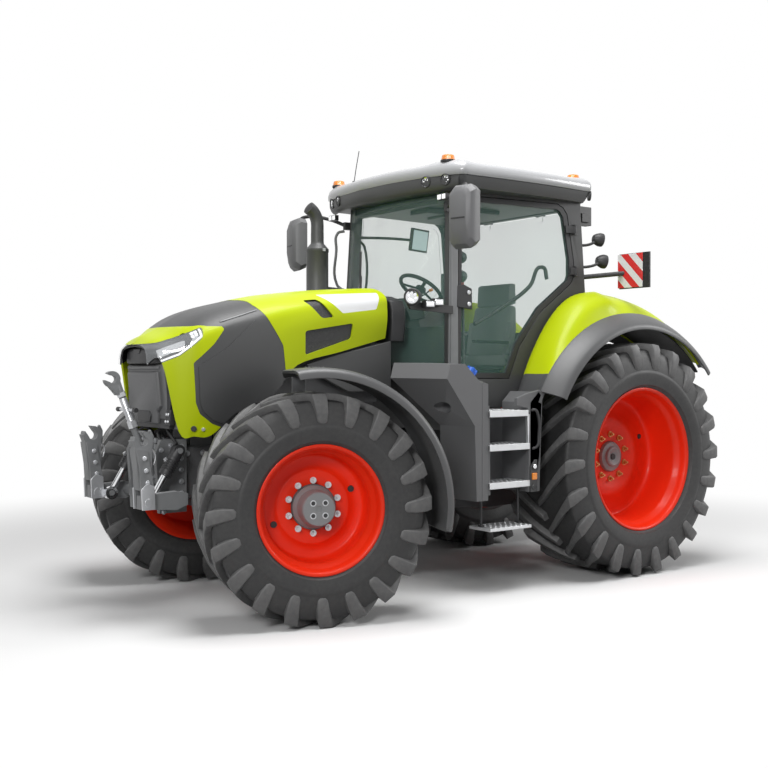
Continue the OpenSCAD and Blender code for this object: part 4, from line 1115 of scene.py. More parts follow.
# angle of each ray in degrees, and how far out the crown lies on it
FENDER_LINE = [(24, 1140), (36, 1175), (50, 1252), (62, 1340), (71, 1390), (80, 1384), (92, 1348)]
FENDER_LINE += [(106, 1306), (122, 1258), (138, 1212)]
CAB_HEADING, CAB_LEAN = radians(7.5), radians(2.34)


def on_ray(angle, r, y):
    return mm(r * cos(radians(angle)), y, REAR_R + r * sin(radians(angle)))


def cab_side_y(angle, r):
    if angle > 83:
        return 700
    x, z = r * cos(radians(angle)), REAR_R + r * sin(radians(angle))
    return 718 + tan(CAB_HEADING) * (1573 - x) - tan(CAB_LEAN) * (z - 1600)


def between(a, b, t):
    return a * (1 - t) + b * t


def fender_row(angle, r):
    foot = min(r - 110, ARCH_R - 40)
    inside = cab_side_y(angle, r - 60)
    w = 1150 - inside
    row = [(foot, cab_side_y(angle, foot)), (r - 40, inside), (r, inside + 0.16 * w)]
    row += [(between(RIM_R, r, 0.88), inside + 0.46 * w), (between(RIM_R, r, 0.56), inside + 0.75 * w)]
    row += [(RIM_R, 1118), (RIM_R - 26, 1138)]
    return [on_ray(angle, out, y) for out, y in row]


def flipped(bm):
    copy = bmesh.ops.duplicate(bm, geom=bm.verts[:] + bm.edges[:] + bm.faces[:])["geom"]
    verts = [g for g in copy if isinstance(g, bmesh.types.BMVert)]
    for v in verts:
        v.co.y = 2 * MIDDLE_Y - v.co.y
    bmesh.ops.reverse_faces(bm, faces=[g for g in copy if isinstance(g, bmesh.types.BMFace)])


bm = bmesh.new()
crown = curve_through([Vector(p) for p in FENDER_LINE], 2)
draped(bm, loft([fender_row(p.x, p.y) for p in crown], 2, 4))
facing_up(bm)
for face in bm.faces:
    spot = face.calc_center_median() - mm(0, 0, REAR_R)
    face.material_index = int(atan2(spot.z, spot.x) < radians(37.5))
bmesh.ops.solidify(bm, geom=bm.faces[:], thickness=0.018)
flipped(bm)
part("rear_fender_shells", bm, [LIME, FENDER_GREY], "chassis", ["rear_fenders"], bevel=0.004, crease=50)

bm = bmesh.new()
liner = [(-26, 1142), (-30, 1040), (-30, 704), (-128, 704), (-128, 692), (-18, 692), (-18, 1040), (-14, 1142)]
arch(bm, [(ARCH_R + r, y) for r, y in liner], 66, 74)
bmesh.ops.translate(bm, vec=mm(0, 0, REAR_R), verts=bm.verts)
flipped(bm)
part("rear_wheel_liners", bm, BLACK, "chassis", bevel=0.003, crease=40)

bm = bmesh.new()
outer = [(36, 1112), (62, 1116), (72, 1126), (64, 1146), (40, 1190), (14, 1230), (-10, 1262)]
outer += [(-30, 1280), (-48, 1286), (-66, 1286)]
inner = [(-66, 1272), (-46, 1272), (-32, 1262), (-18, 1244), (4, 1208), (26, 1172), (40, 1144)]
arch(bm, [(ARCH_R + r, y) for r, y in outer + inner], 28, 112)
bmesh.ops.translate(bm, vec=mm(0, 0, REAR_R), verts=bm.verts)
flipped(bm)
part("rear_flares", bm, FENDER_GREY, "chassis", ["fender_flares"], bevel=0.003, crease=40)
print("rear fenders lofted")

# %% [markdown]
# ## Tanks, steps and shields
# The tank between the fender and the door is a hollow moulding with flat facets. Its front
# leans forward over the wheel, and the outline differs between its outer and its
# inner face, so it is one outline bridged to another.

# %% Tanks
TANK_OUT = [(1576, 705), (1688, 705), (1706, 1255), (1970, 1600)]
TANK_OUT += [(1940, 1704), (1800, 1706), (1655, 1575), (1576, 1560)]
TANK_IN = [(1576, 705), (1700, 705), (1722, 1250), (2190, 1606)]
TANK_IN += [(2160, 1716), (1800, 1716), (1690, 1700), (1672, 1560)]
TANK_OUT_Y, TANK_IN_Y = 1118, 742
CAP = [(0, 0.062), (0.030, 0.062), (0.036, 0.056), (0.038, 0.010), (0.044, 0.008), (0.046, 0.0), (0, 0.0)]


def filler_cap(bm, place, turn, tone):
    cap = bmesh.new()
    turned(cap, CAP, 40)
    for i in range(3):
        grip = bmesh.ops.create_cube(cap, size=1)["verts"]
        bmesh.ops.scale(cap, vec=(0.088, 0.050, 0.016), verts=grip)
        bmesh.ops.rotate(cap, verts=grip, cent=(0, 0, 0), matrix=Matrix.Rotation(i * pi / 3, 3, "Y"))
        bmesh.ops.translate(cap, vec=(0, 0.034, 0), verts=grip)
    toned(cap.verts, tone)
    bmesh.ops.rotate(cap, verts=cap.verts, cent=(0, 0, 0), matrix=Matrix.Rotation(pi / 2, 3, "X"))
    moved(cap, cap.verts, place, turn)
    joined(bm, cap)


bm = bmesh.new()
for s in (1, -1):
    outside = [mm(x, s * TANK_OUT_Y, z) for x, z in TANK_OUT]
    bridged(bm, [outside, [mm(x, s * TANK_IN_Y, z) for x, z in TANK_IN]])
bmesh.ops.recalc_face_normals(bm, faces=bm.faces)
stock = as_mesh(bm)
bm = bmesh.new()
for s in (1, -1):
    dent = bmesh.ops.create_uvsphere(bm, u_segments=32, v_segments=16, radius=1)["verts"]
    bmesh.ops.scale(bm, vec=(0.085, 0.075, 0.055), verts=dent)
    moved(bm, dent, mm(1880, s * 960, 1395), Matrix.Rotation(radians(48), 4, "Y"))
    groove = bmesh.ops.create_cube(bm, size=1)["verts"]
    bmesh.ops.scale(bm, vec=(0.005, 0.008, 1.2), verts=groove)
    bmesh.ops.translate(bm, vec=mm(1636, s * 1120, 1200), verts=groove)
bm = cut(stock, ("DIFFERENCE", as_mesh(bm, "tool")))
for s in (1, -1):
    brick(bm, (1650, s * 190, 800), (1690, s * 750, 860), 1)
    filler_cap(bm, mm(1700, s * 1040, 1622), Matrix.Rotation(radians(-38), 4, "Y"), 2)
part("tanks_moulded", bm, [TANK_GREY, CASTING, BLUE_CAP], "chassis", ["side_tanks"], bevel=0.014, steps=3, crease=30)
print("tanks bridged")

# %% [markdown]
# The steps are alloy planks with raised studs for grip, hung between the tank and a
# moulded side panel. The lowest one swings on two thin hangers.


# %% Steps and their side panel
def studs(bm, xs, ys, z, across, height):
    for x in xs:
        for y in ys:
            nut(bm, mm(x, y, z), (0, 0, 1), across, height, sides=10)


STEP_FRONT, STEP_OUT = 1572, 1130
SWUNG_STEP = 498
SIDE_PANEL = [(1058, 742), (1176, 742), (1168, 1000), (1160, 1330), (1186, 1376), (1296, 1398), (1290, 1452)]
SIDE_PANEL += [(1176, 1488), (1052, 1512), (1028, 1460), (1048, 1000)]
STEP_HANDLE = [(1150, 1108, 1352), (1120, 1140, 1362), (1098, 1146, 1330)]
STEP_HANDLE += [(1088, 1146, 1150), (1100, 1140, 1084), (1140, 1112, 1066)]
bm = bmesh.new()
for rear, inside, z in ((1180, 824, 1320), (1166, 852, 1070), (1160, 882, 790)):
    brick(bm, (rear, inside, z + 6), (STEP_FRONT, STEP_OUT, z + 40))
    brick(bm, (rear, STEP_OUT - 12, z - 4), (STEP_FRONT, STEP_OUT + 4, z + 43))
    studs(bm, range(rear + 30, 1560, 46), range(inside + 50, inside + 240, 60), z + 41, 0.020, 0.005)
side_slab(bm, [(1112, 742), (1158, 742), (1158, 1420), (1070, 1500), (1032, 1462), (1060, 1000)], 818, 1128, 1)
side_slab(bm, SIDE_PANEL, 1094, 1128, 1)
side_slab(bm, [(1150, 742), (1572, 742), (1572, 1366), (1150, 1366)], 802, 820, 1)
side_slab(bm, [(1545, 742), (1574, 742), (1574, 1400), (1556, 1400)], 820, 1110, 1)
side_slab(bm, [(1158, 1330), (1182, 1330), (1172, 1080), (1148, 1080)], 1100, 1124)
side_slab(bm, [(1096, 742), (1164, 742), (1164, 930), (1120, 985), (1096, 985)], 1128, 1142, 2)
pipe(bm, [mm(*p) for p in STEP_HANDLE], 0.012, tone=3)
for z, tone in ((935, 4), (782, 3)):
    nut(bm, mm(1130, 1146, z), (0, 1, 0), 0.050, 0.014, 2, sides=24)
    nut(bm, mm(1130, 1149, z), (0, 1, 0), 0.038, 0.014, tone, sides=24)
brick(bm, (1108, 1138, 836), (1152, 1154, 886), 5)
brick(bm, (1152, 902, SWUNG_STEP - 24), (1570, 1138, SWUNG_STEP))
for x in (1172, 1548):
    pipe(bm, [mm(x, 1010, 486), mm(x, 1010, 640), mm(x, 1004, 800)], 0.010, tone=3)
    brick(bm, (x - 16, 990, 496), (x + 16, 1030, 512), 3)
studs(bm, range(1190, 1550, 52), (940, 1000, 1060, 1115), SWUNG_STEP + 1, 0.022, 0.006)
step_finishes = [ALLOY, TANK_GREY, PANEL_GREY, BLACK, CHROME, AMBER_PAINTED_GLOW]
part("steps_built", bm, step_finishes, "chassis", ["steps"], bevel=0.004, crease=30)
dressed("hood_shields", PANEL_GREY, 0.008)
bm = bmesh.new()
COWL = [(396, 1880), (418, 2030), (414, 2130), (386, 2196), (240, 2238)]
COWL_RINGS = ((1784, 0.96), (1800, 1.0), (1910, 1.0), (1924, 0.98))
bridged(bm, [[mm(x, y * k, z - 200 * (1 - k)) for y, z in mirrored(COWL)] for x, k in COWL_RINGS])
part("cowl", bm, BLACK, "chassis", bevel=0.008)
print("steps hung")

# %% [markdown]
# ## Cab
# Posts, rails and door frame keep their CAD shape, with the edges rounded. The sides
# of the cab lean inwards and towards the nose, so `cab_point` gives a place in the frame of
# a side: from the foot of the front post, along the side, outwards and up.

# %% Posts, door and glass
CAB_SIDE = Matrix.Rotation(-CAB_HEADING, 4, "Z") @ Matrix.Rotation(CAB_LEAN, 4, "X")


def cab_point(x, y, z):
    return mm(1573, 708, 1600) + CAB_SIDE @ own(x, y, z)


def cab_slab(bm, outline, y0, y1, tone=0):
    lift = cab_point(0, y1, 0) - cab_point(0, y0, 0)
    return slab(bm, [cab_point(x, y0, z) for x, z in outline], lift, tone)


dressed("cab_frame", PANEL_GREY, 0.006)
dressed("cab_base", PANEL_GREY, 0.006)
dressed("door_frame", BLACK, 0.006)
for node in ("cab_glass", "door_glass", "rear_window"):
    dressed(node, GLASS, 0)

bm = bmesh.new()
# lighter grey covers on the dark front posts: painted highlight along them
cab_slab(bm, [(40, -30), (40, 0), (-14, 1436), (-84, 1436), (-50, 0), (-50, -30)], 0, 10)
cab_slab(bm, [(26, 20), (-20, 1400), (-32, 1400), (12, 20)], 10, 17)
flipped(bm)
part("front_post_covers_painted_highlight", bm, LINK_GREY, "chassis", bevel=0.005)

bm = bmesh.new()
cab_slab(bm, [(-52, 545), (-190, 530), (-190, 690), (-120, 720), (-60, 712)], -2, 16)
for x, z in ((-160, 570), (-160, 660)):
    nut(bm, cab_point(x, 18, z), CAB_SIDE @ Vector((0, 1, 0)), 0.036, 0.012, 1, sides=20)
cab_slab(bm, [(-700, 330), (-716, 330), (-860, 510), (-850, 520)], -14, -2)
part("door_latch", bm, [BLACK, STEEL], "door", bevel=0.005)
print("cab side dressed")

# %% [markdown]
# The roof is a loft of rings: the plan is a smooth closed curve, and each ring is that
# plan drawn in to its own height. Low swells carry the beacons. A dark band closes the
# rim, and a visor with the work lamps hangs below it over the windscreen.

# %% Roof
ROOF_FRONT = [(1800, 0), (1790, 260), (1735, 600), (1640, 870)]
ROOF_HALF = ROOF_FRONT + [(1500, 905), (900, 925), (350, 900), (215, 840), (185, 400), (180, 0)]
ROOF_PLAN = ROOF_HALF + [(x, -y) for x, y in reversed(ROOF_HALF[1:-1])]
BEACONS = [(1630, 725), (1630, -725), (245, 700), (245, -700)]
BEACON_FOOT, SWELL_R, ROOF_MIDDLE = 3172, 260, 950
# how far the plan is drawn in, the height, and how much the beacons' feet swell
SHELL_RINGS = [(0.9, 3124, 0), (0.993, 3126, 0), (1.003, 3140, 0), (1.004, 3172, 0), (0.995, 3200, 6), (0.97, 3218, 16)]
SHELL_RINGS += [(0.93, 3231, 20), (0.88, 3239, 14), (0.80, 3244, 6), (0.5, 3247, 0), (0.2, 3248, 0)]
BAND_RINGS = [(0.93, 3128), (0.984, 3126), (0.988, 3120), (0.982, 3100), (0.972, 3076)]
BAND_RINGS += [(0.958, 3052), (0.948, 3038), (0.90, 3036), (0.3, 3037)]
# how far the visor stands back, how much it is narrowed, the height
VISOR_ROWS = [(8, 0.985, 3136), (2, 0.985, 3112), (2, 0.982, 3074), (12, 0.972, 3040)]
VISOR_ROWS += [(30, 0.96, 3018), (46, 0.945, 3014), (56, 0.94, 3030), (60, 0.94, 3100)]


def closed_curve(points, n):
    whole = [Vector(p) for p in points]
    line = curve_through(whole[-2:] + whole + whole[:2], n)
    return line[2 * n : -n - 1]


def roof_ring(scale, z, swell=0.0):
    ring = []
    for p in closed_curve(ROOF_PLAN, 5):
        x, y = ROOF_MIDDLE + scale * (p.x - ROOF_MIDDLE), scale * p.y
        near = max(1 - ((x - a) ** 2 + (y - b) ** 2) / SWELL_R**2 for a, b in BEACONS)
        ring.append(mm(x, y, z + swell * max(0.0, near) ** 2))
    return ring


bm = bmesh.new()
bridged(bm, [roof_ring(*ring) for ring in SHELL_RINGS])
part("roof_shell", bm, SILVER, "chassis", ["roof_top"], crease=40)

bm = bmesh.new()
bridged(bm, [roof_ring(*ring) for ring in BAND_RINGS])
visor = ROOF_FRONT[:0:-1] + [(x, -y) for x, y in ROOF_FRONT]
front = curve_through([Vector(p) for p in visor], 6)
draped(bm, [[mm(p.x - back, p.y * narrow, z) for p in front] for back, narrow, z in VISOR_ROWS])
part("roof_rim", bm, PANEL_GREY, "chassis", ["roof_band"], crease=40)
print("roof lofted")


# %% [markdown]
# Round things that stand upright are turned about Y first and then tipped up.


# %% Beacons and the lamps of the visor
def on_axis(bm, profile, place, axis=(0, 0, 1), steps=40, tone=0):
    piece = bmesh.new()
    turned(piece, profile, steps, tone)
    moved(piece, piece.verts, Vector(place), Vector(axis).to_track_quat("Y", "Z").to_matrix().to_4x4())
    bmesh.ops.recalc_face_normals(piece, faces=piece.faces)
    joined(bm, piece)


BEACON_BASE = [(0, 0.060), (0.056, 0.060), (0.058, 0.064), (0.058, 0.076), (0.050, 0.079), (0, 0.079)]
BEACON_LENS = [(0, 0.076), (0.050, 0.078)]
for i in range(5):
    BEACON_LENS += [(0.0525 - i * 0.001, 0.080 + i * 0.006), (0.0505 - i * 0.001, 0.083 + i * 0.006)]
BEACON_LENS += [(0.046, 0.112), (0.036, 0.117), (0, 0.118)]

bm = bmesh.new()
for x, y in BEACONS:
    on_axis(bm, BEACON_BASE, mm(x, y, BEACON_FOOT), tone=1)
    on_axis(bm, BEACON_LENS, mm(x, y, BEACON_FOOT))
part("beacon_lenses", bm, [AMBER_PAINTED_GLOW, BLACK], "chassis", ["beacons"], crease=50)


def round_lamp(bm, place, axis, r):
    rim = [(0, -0.010), (r * 1.15, -0.010), (r * 1.22, -0.004), (r * 1.22, 0.010), (r * 1.1, 0.014)]
    on_axis(bm, rim + [(r, 0.010), (r * 0.96, 0.002)], place, axis, 32)
    on_axis(bm, [(r * 0.98, 0.004), (r * 0.7, -0.004), (r * 0.35, -0.007), (0, -0.008)], place, axis, 32, 1)
    way = Vector(axis).normalized()
    side = way.orthogonal().normalized()
    for i in range(6):
        spot = side.copy()
        spot.rotate(Matrix.Rotation(i * pi / 3, 3, way))
        nut(bm, Vector(place) + spot * r * 0.55 + way * 0.001, way, r * 0.34, 0.006, 2, sides=12)


bm = bmesh.new()
for s in (1, -1):
    for x, y, z in ((1722, 585, 3092), (1668, 752, 3096)):
        round_lamp(bm, mm(x + 8, s * y, z), (0.95, s * 0.25, -0.12), 0.036)
    round_lamp(bm, mm(222, s * 858, 3098), (-0.8, s * 0.6, -0.05), 0.034)
    for y in (s * 730 - 26, s * 730 + 26):
        brick(bm, (1664, y - 24, 2944), (1700, y + 24, 2990))
        brick(bm, (1699, y - 19, 2949), (1704, y + 19, 2985), 2)
part("roof_lamps", bm, [BLACK, REFLECTOR, LED], "chassis", bevel=0.002, crease=40)
print("beacons and roof lamps set")

# %% [markdown]
# ## Inside the cab
# What shows through the glass: a padded seat with its armrests, the console with the
# wheel and its lever, a screen on a stalk, the headliner and a few levers.


# %% Seat
def cushion(bm, outline, y0, y1, puff):
    pads = bmesh.new()
    side_slab(pads, outline, y0, y1)
    bmesh.ops.triangulate(pads, faces=[f for f in pads.faces if len(f.verts) > 4])
    bmesh.ops.join_triangles(pads, faces=pads.faces, angle_face_threshold=0.6, angle_shape_threshold=1.2)
    bmesh.ops.bevel(pads, geom=pads.edges[:], offset=puff, segments=3, affect="EDGES", **ROUND)
    joined(bm, pads)


f = Finish("seat_cloth_painted_light")
weave = f.node("ShaderNodeTexChecker", Vector=f.place(), Scale=900.0, out=1)
# the cloth's grey is lighter than its own: painted light against the shade inside the cab
tones = f.mix(f.noise(6), (0.260, 0.280, 0.280), (0.340, 0.360, 0.358))
cloth = f.node("ShaderNodeBsdfPrincipled", Base_Color=tones, Roughness=0.85, Normal=f.bump(weave, 0.3, 0.0006))
SEAT_CLOTH = f.done(cloth)
bm = bmesh.new()
cushion(bm, [(585, 1668), (1105, 1672), (1140, 1705), (1105, 1768), (860, 1752), (620, 1760)], -245, 245, 0.028)
cushion(bm, [(500, 1730), (600, 1752), (565, 1960), (512, 2216), (436, 2216), (430, 2000)], -235, 235, 0.030)
cushion(bm, [(486, 2215), (506, 2222), (496, 2392), (466, 2408), (424, 2402), (418, 2236)], -200, 200, 0.028)
for s in (1, -1):
    cushion(bm, [(585, 1690), (1080, 1698), (1080, 1782), (640, 1790)], s * 268 - 24, s * 268 + 24, 0.020)
    cushion(bm, [(520, 1790), (588, 1800), (545, 2080), (480, 2080)], s * 244 - 26, s * 244 + 26, 0.018)
made = part("seat_pads", bm, [SEAT_CLOTH], "chassis", ["seat"], crease=60)

bm = bmesh.new()
brick(bm, (630, -215, 1640), (1080, 215, 1668), 0)
side_slab(bm, [(690, 1800), (1110, 1812), (1150, 1850), (1120, 1892), (690, 1880)], -425, -300, 0)
brick(bm, (690, -395, 1640), (760, -275, 1802), 0)
side_slab(bm, [(700, 1890), (730, 1880), (800, 1990), (785, 2000)], -372, -352, 0)
side_slab(bm, [(640, 1880), (1010, 1888), (1010, 1912), (640, 1906)], 296, 350, 0)
for x, lean in ((1000, 24), (1050, 10)):
    pipe(bm, [mm(x, -360, 1880), mm(x + lean, -360, 1960), mm(x + 2 * lean, -362, 2010)], 0.008, tone=0)
    nut(bm, mm(x + 2 * lean, -362, 2020), (0.2, 0, 1), 0.036, 0.05, 1, sides=16)
brick(bm, (650, -190, 1412), (990, 190, 1450), 0)
for i in range(6):
    brick(bm, (662 + 6 * (i % 2), -176, 1452 + 31 * i), (978 - 6 * (i % 2), 176, 1481 + 31 * i), 0)
part("seat_stand", bm, [BLACK, RIM_RED], "chassis", bevel=0.005)
print("seat padded")

# %% [markdown]
# The steering wheel's rim is a row of small circles set round the column and bridged,
# one to the next.


# %% Console, wheel and controls
WHEEL_CENTRE, WHEEL_TILT, WHEEL_R, GRIP_R = (1310, 0, 2332), -35, 0.185, 0.016
RIM_STEPS, GRIP_STEPS = 48, 12


def steering_wheel(bm):
    wheel = bmesh.new()
    for i in range(RIM_STEPS):
        ring = bmesh.ops.create_circle(wheel, segments=GRIP_STEPS, radius=GRIP_R)["verts"]
        out = Matrix.Translation((WHEEL_R, 0, 0)) @ Matrix.Rotation(pi / 2, 4, "X")
        bmesh.ops.transform(wheel, matrix=Matrix.Rotation(2 * pi * i / RIM_STEPS, 4, "Z") @ out, verts=ring)
    loops = [wheel.edges[GRIP_STEPS * i : GRIP_STEPS * (i + 1)] for i in range(RIM_STEPS)]
    for a, b in zip(loops, loops[1:] + loops[:1]):
        bmesh.ops.bridge_loops(wheel, edges=list(a) + list(b))
    for a in (60, 180, 300):
        spoke = bmesh.ops.create_cube(wheel, size=1)["verts"]
        bmesh.ops.scale(wheel, vec=(0.18, 0.030, 0.012), verts=spoke)
        bmesh.ops.translate(wheel, vec=(0.095, 0, -0.002), verts=spoke)
        bmesh.ops.rotate(wheel, verts=spoke, cent=(0, 0, 0), matrix=Matrix.Rotation(radians(a), 3, "Z"))
    hub = {"cap_ends": True, "segments": 32, "radius1": 0.050, "radius2": 0.042, "depth": 0.030}
    bmesh.ops.translate(wheel, vec=(0, 0, 0.002), verts=bmesh.ops.create_cone(wheel, **hub)["verts"])
    moved(wheel, wheel.verts, mm(*WHEEL_CENTRE), Matrix.Rotation(radians(WHEEL_TILT), 4, "Y"))
    joined(bm, wheel)


bm = bmesh.new()
side_slab(bm, [(1395, 1412), (1568, 1412), (1568, 2030), (1540, 2120), (1440, 2130), (1390, 1840)], -135, 135)
side_slab(bm, [(1400, 2080), (1555, 2060), (1600, 2150), (1520, 2250), (1420, 2200)], -175, 175)
side_slab(bm, [(1404, 2170), (1420, 2198), (1500, 2240), (1496, 2218)], -120, 120, 1)
pipe(bm, [mm(1440, 0, 2140), mm(1322, 0, 2312)], 0.034, smooth=False)
for s, reach in ((1, 150), (-1, 130)):
    pipe(bm, [mm(1356, 0, 2262), mm(1350, s * reach * 0.6, 2278), mm(1338, s * reach, 2310)], 0.006)
    nut(bm, mm(1336, s * (reach + 14), 2314), (0, s, 0.2), 0.026, 0.034, 2 if s > 0 else 0, sides=14)
steering_wheel(bm)
part("console_and_wheel", bm, [BLACK, SCREEN, AMBER_PAINTED_GLOW], "chassis", ["console"], bevel=0.006, crease=40)

bm = bmesh.new()
SCREEN_CENTRE = mm(1225, -130, 2752)
tilt = Matrix.Rotation(radians(-72), 4, "Z") @ Matrix.Rotation(radians(-8), 4, "Y")
moved(bm, block(bm, (-12, -125, -95), (12, 125, 95)), SCREEN_CENTRE, tilt)
moved(bm, block(bm, (-16, -108, -80), (-11, 108, 80), 1), SCREEN_CENTRE, tilt)
pipe(bm, [mm(1225, -146, 2752), mm(1330, -420, 2790), mm(1500, -590, 2800)], 0.012)
part("cab_screen", bm, [BLACK, SCREEN], "chassis", bevel=0.006)

bm = bmesh.new()
HEADLINER = [(1520, 600), (1560, 250), (1565, 0), (1560, -250), (1520, -600), (340, -690), (340, 690)]
SIDE_CONSOLE = [(1040, 1410), (1100, 1410), (1080, 1700), (960, 1860)]
SIDE_CONSOLE += [(640, 1880), (640, 1840), (940, 1820), (1030, 1680)]
slab(bm, [mm(x, y, 2990) for x, y in HEADLINER], own(0, 0, 44))
brick(bm, (1150, -120, 2950), (1330, 120, 2992))
brick(bm, (700, -300, 2960), (1000, 300, 2992))
side_slab(bm, SIDE_CONSOLE, -640, -420)
part("headliner_and_side_console", bm, PANEL_GREY, "chassis", bevel=0.010, steps=3)
print("inside of the cab set")

# %% [markdown]
# The wiper parks upright on the windscreen, and grab rails stand by the door.

# %% Wiper, grab rails and door handle
GRAB_RAIL = [(1520, 560, 2760), (1490, 545, 2720), (1500, 560, 2250), (1535, 590, 2200)]
POST_RAIL = [(1590, -700, 2860), (1640, -730, 2840), (1646, -742, 2700), (1640, -742, 2400), (1598, -712, 2350)]
DOOR_BAR = [(-240, -40, 420), (-520, -60, 560), (-800, -60, 740), (-930, -56, 900), (-960, -40, 800)]
DOOR_PULL = [(-140, -46, 90), (-150, -60, 300), (-150, -60, 520), (-140, -46, 600)]
bm = bmesh.new()
pipe(bm, [mm(1745, -250, 1760), mm(1738, -262, 2100), mm(1722, -270, 2440)], 0.007)
pipe(bm, [mm(1728, -285, 2130), mm(1716, -285, 2640)], 0.009, smooth=False)
nut(bm, mm(1748, -250, 1752), (1, 0, 0.1), 0.046, 0.030, sides=16)
for s in (1, -1):
    pipe(bm, [mm(x, s * y, z) for x, y, z in GRAB_RAIL], 0.011)
pipe(bm, [mm(*p) for p in POST_RAIL], 0.012, tone=1)
part("wiper_and_rails", bm, [BLACK, LINK_GREY], "chassis", crease=50)
bm = bmesh.new()
pipe(bm, [cab_point(*p) for p in DOOR_BAR], 0.016)
pipe(bm, [cab_point(*p) for p in DOOR_PULL], 0.012)
part("door_rail", bm, BLACK, "door", crease=50)
print("wiper and rails bent")

# %% [markdown]
# ## Outside the cab
# Exhaust, mirrors, lamps and the striped signs. The silencer and its pipe are turned
# and bent; a mirror head is a bridge through chamfered rectangles, with the glass set
# into its rear face.

# %% Exhaust
STACK_X, STACK_Y, STACK_R = 1960, -565, 0.054
BEND_R, BEND_HEIGHT = 150, 2870
SILENCER = [(0, 1.620), (0.056, 1.620), (0.060, 1.626), (0.060, 1.890), (0.070, 1.897), (0.086, 1.905)]
SILENCER += [(0.092, 1.920), (0.092, 2.180), (0.0945, 2.183), (0.0945, 2.203), (0.092, 2.206), (0.092, 2.640)]
SILENCER += [(0.0955, 2.645), (0.0955, 2.668), (0.088, 2.676), (0.064, 2.704), (0.056, 2.712)]
SILENCER += [(STACK_R, 2.730), (STACK_R, 2.80)]


def bend_point(angle):
    out, up = BEND_R * cos(radians(angle)), BEND_R * sin(radians(angle))
    return mm(STACK_X + BEND_R + out, STACK_Y, BEND_HEIGHT + up)


bm = bmesh.new()
on_axis(bm, SILENCER, mm(STACK_X, STACK_Y, 0), steps=48)
bend = [mm(STACK_X, STACK_Y, 2760), mm(STACK_X, STACK_Y, 2830)] + [bend_point(a) for a in range(180, 114, -13)]
pipe(bm, bend, STACK_R, sides=24)
# a black disc just inside the open mouth: painted shade for the dark inside the pipe
mouth = bend[-1] - bend[-2]
nut(bm, bend[-1] + mouth.normalized() * 0.001, mouth, 0.096, 0.002, 1, sides=32)
pipe(bm, [mm(STACK_X, -412, 1680), mm(STACK_X, -530, 1680)], 0.055, sides=20, smooth=False)
for z in (2194, 2656):
    brick(bm, (STACK_X - 12, STACK_Y + 92, z - 12), (STACK_X + 12, STACK_Y + 106, z + 12), 2)
pipe(bm, [mm(1604, -690, 2350), mm(1750, -640, 2350), mm(1885, -592, 2350)], 0.016)
part("exhaust_stack", bm, [PANEL_GREY, SEAL, STEEL], "chassis", ["exhaust"], crease=40)
print("exhaust turned and bent")


# %% Mirrors
def chamfered(half, low, high, cut_off):
    flat = [(half - cut_off, low), (half, low + cut_off), (half, high - cut_off), (half - cut_off, high)]
    return flat + [(-y, z) for y, z in reversed(flat)]


# place along the head, half width, lower and upper end, and the corner's chamfer
HEAD_RINGS = [(-22, 100, 40, 446, 34), (-18, 106, 30, 454, 36), (40, 110, 4, 464, 40), (84, 96, 34, 444, 46)]
HEAD_RINGS += [(108, 70, 130, 400, 40)]
MIRROR_ARM = [(1590, 668, 2900), (1650, 860, 2975), (1745, 1050, 3010), (1782, 1106, 2985)]
MIRROR_ARM += [(1786, 1112, 2900), (1786, 1112, 2560)]
HEAD_TURN = Matrix.Rotation(radians(12), 4, "Z")
HEAD = Matrix.Translation(mm(1775, 1105, 2530)) @ HEAD_TURN


def head_ring(x, half, low, high, chamfer):
    return [HEAD @ own(x, y, z) for y, z in chamfered(half, low, high, chamfer)]


bm = bmesh.new()
bridged(bm, [head_ring(*ring) for ring in HEAD_RINGS])
slab(bm, head_ring(-24, 90, 50, 436, 30), HEAD_TURN @ own(3, 0, 0), 1)
slab(bm, head_ring(101, 62, 215, 226, 3), HEAD_TURN @ own(10, 0, 0), 2)
pipe(bm, [mm(*p) for p in MIRROR_ARM], 0.015, sides=16, tone=2)
brick(bm, (1548, 655, 2868), (1612, 690, 2932), 2)
flipped(bm)
part("mirror_heads", bm, [TANK_GREY, MIRROR, BLACK], "chassis", ["mirrors"], bevel=0.008, steps=3)
print("mirrors hung")

# %% [markdown]
# The lamps at the rear post sit on short stalks. On the left, two more stand on a
# bracket in front of the windscreen's foot.

# %% Work lamps and aerial
bm = bmesh.new()
for s in (1, -1):
    brick(bm, (112, s * 716, 2866), (268, s * 784, 3020))
    brick(bm, (150, s * 784, 2890), (240, s * 800, 2960))
    for x, y, z, r in ((100, 880, 2740, 0.056), (80, 900, 2560, 0.058)):
        pipe(bm, [mm(284, s * 788, z - 50), mm(200, s * (y - 40), z - 40), mm(x + 50, s * y, z - 10)], 0.012)
        bowl = [(0, -0.075), (0.030, -0.072), (r * 0.8, -0.05), (r, -0.02), (r, 0.006), (r * 0.9, 0.008)]
        on_axis(bm, bowl, mm(x, s * y, z), (-0.9, s * 0.4, -0.15), 32)
        round_lamp(bm, mm(x, s * y, z), (-0.9, s * 0.4, -0.15), r * 0.8)
side_slab(bm, [(1590, 2090), (2000, 2110), (2030, 2150), (2000, 2170), (1590, 2150)], 722, 740)
for x, z in ((1770, 2166), (1856, 2150)):
    brick(bm, (x - 44, 742, z - 26), (x + 44, 790, z + 30))
    brick(bm, (x - 38, 788, z - 18), (x + 38, 794, z + 24), 1)
    brick(bm, (x - 30, 792, z - 8), (x + 30, 796, z + 14), 2)
lamp_place, lamp_axis = mm(2010, 768, 2200), (0.8, 0.6, -0.05)
bowl = [(0, -0.09), (0.036, -0.086), (0.058, -0.06), (0.064, -0.02), (0.064, 0.006), (0.058, 0.010)]
on_axis(bm, bowl, lamp_place, lamp_axis, 32)
round_lamp(bm, lamp_place, lamp_axis, 0.050)
aerial = [mm(1706, -395, 3222), mm(1694, -379, 3350), mm(1679, -360, 3484)]
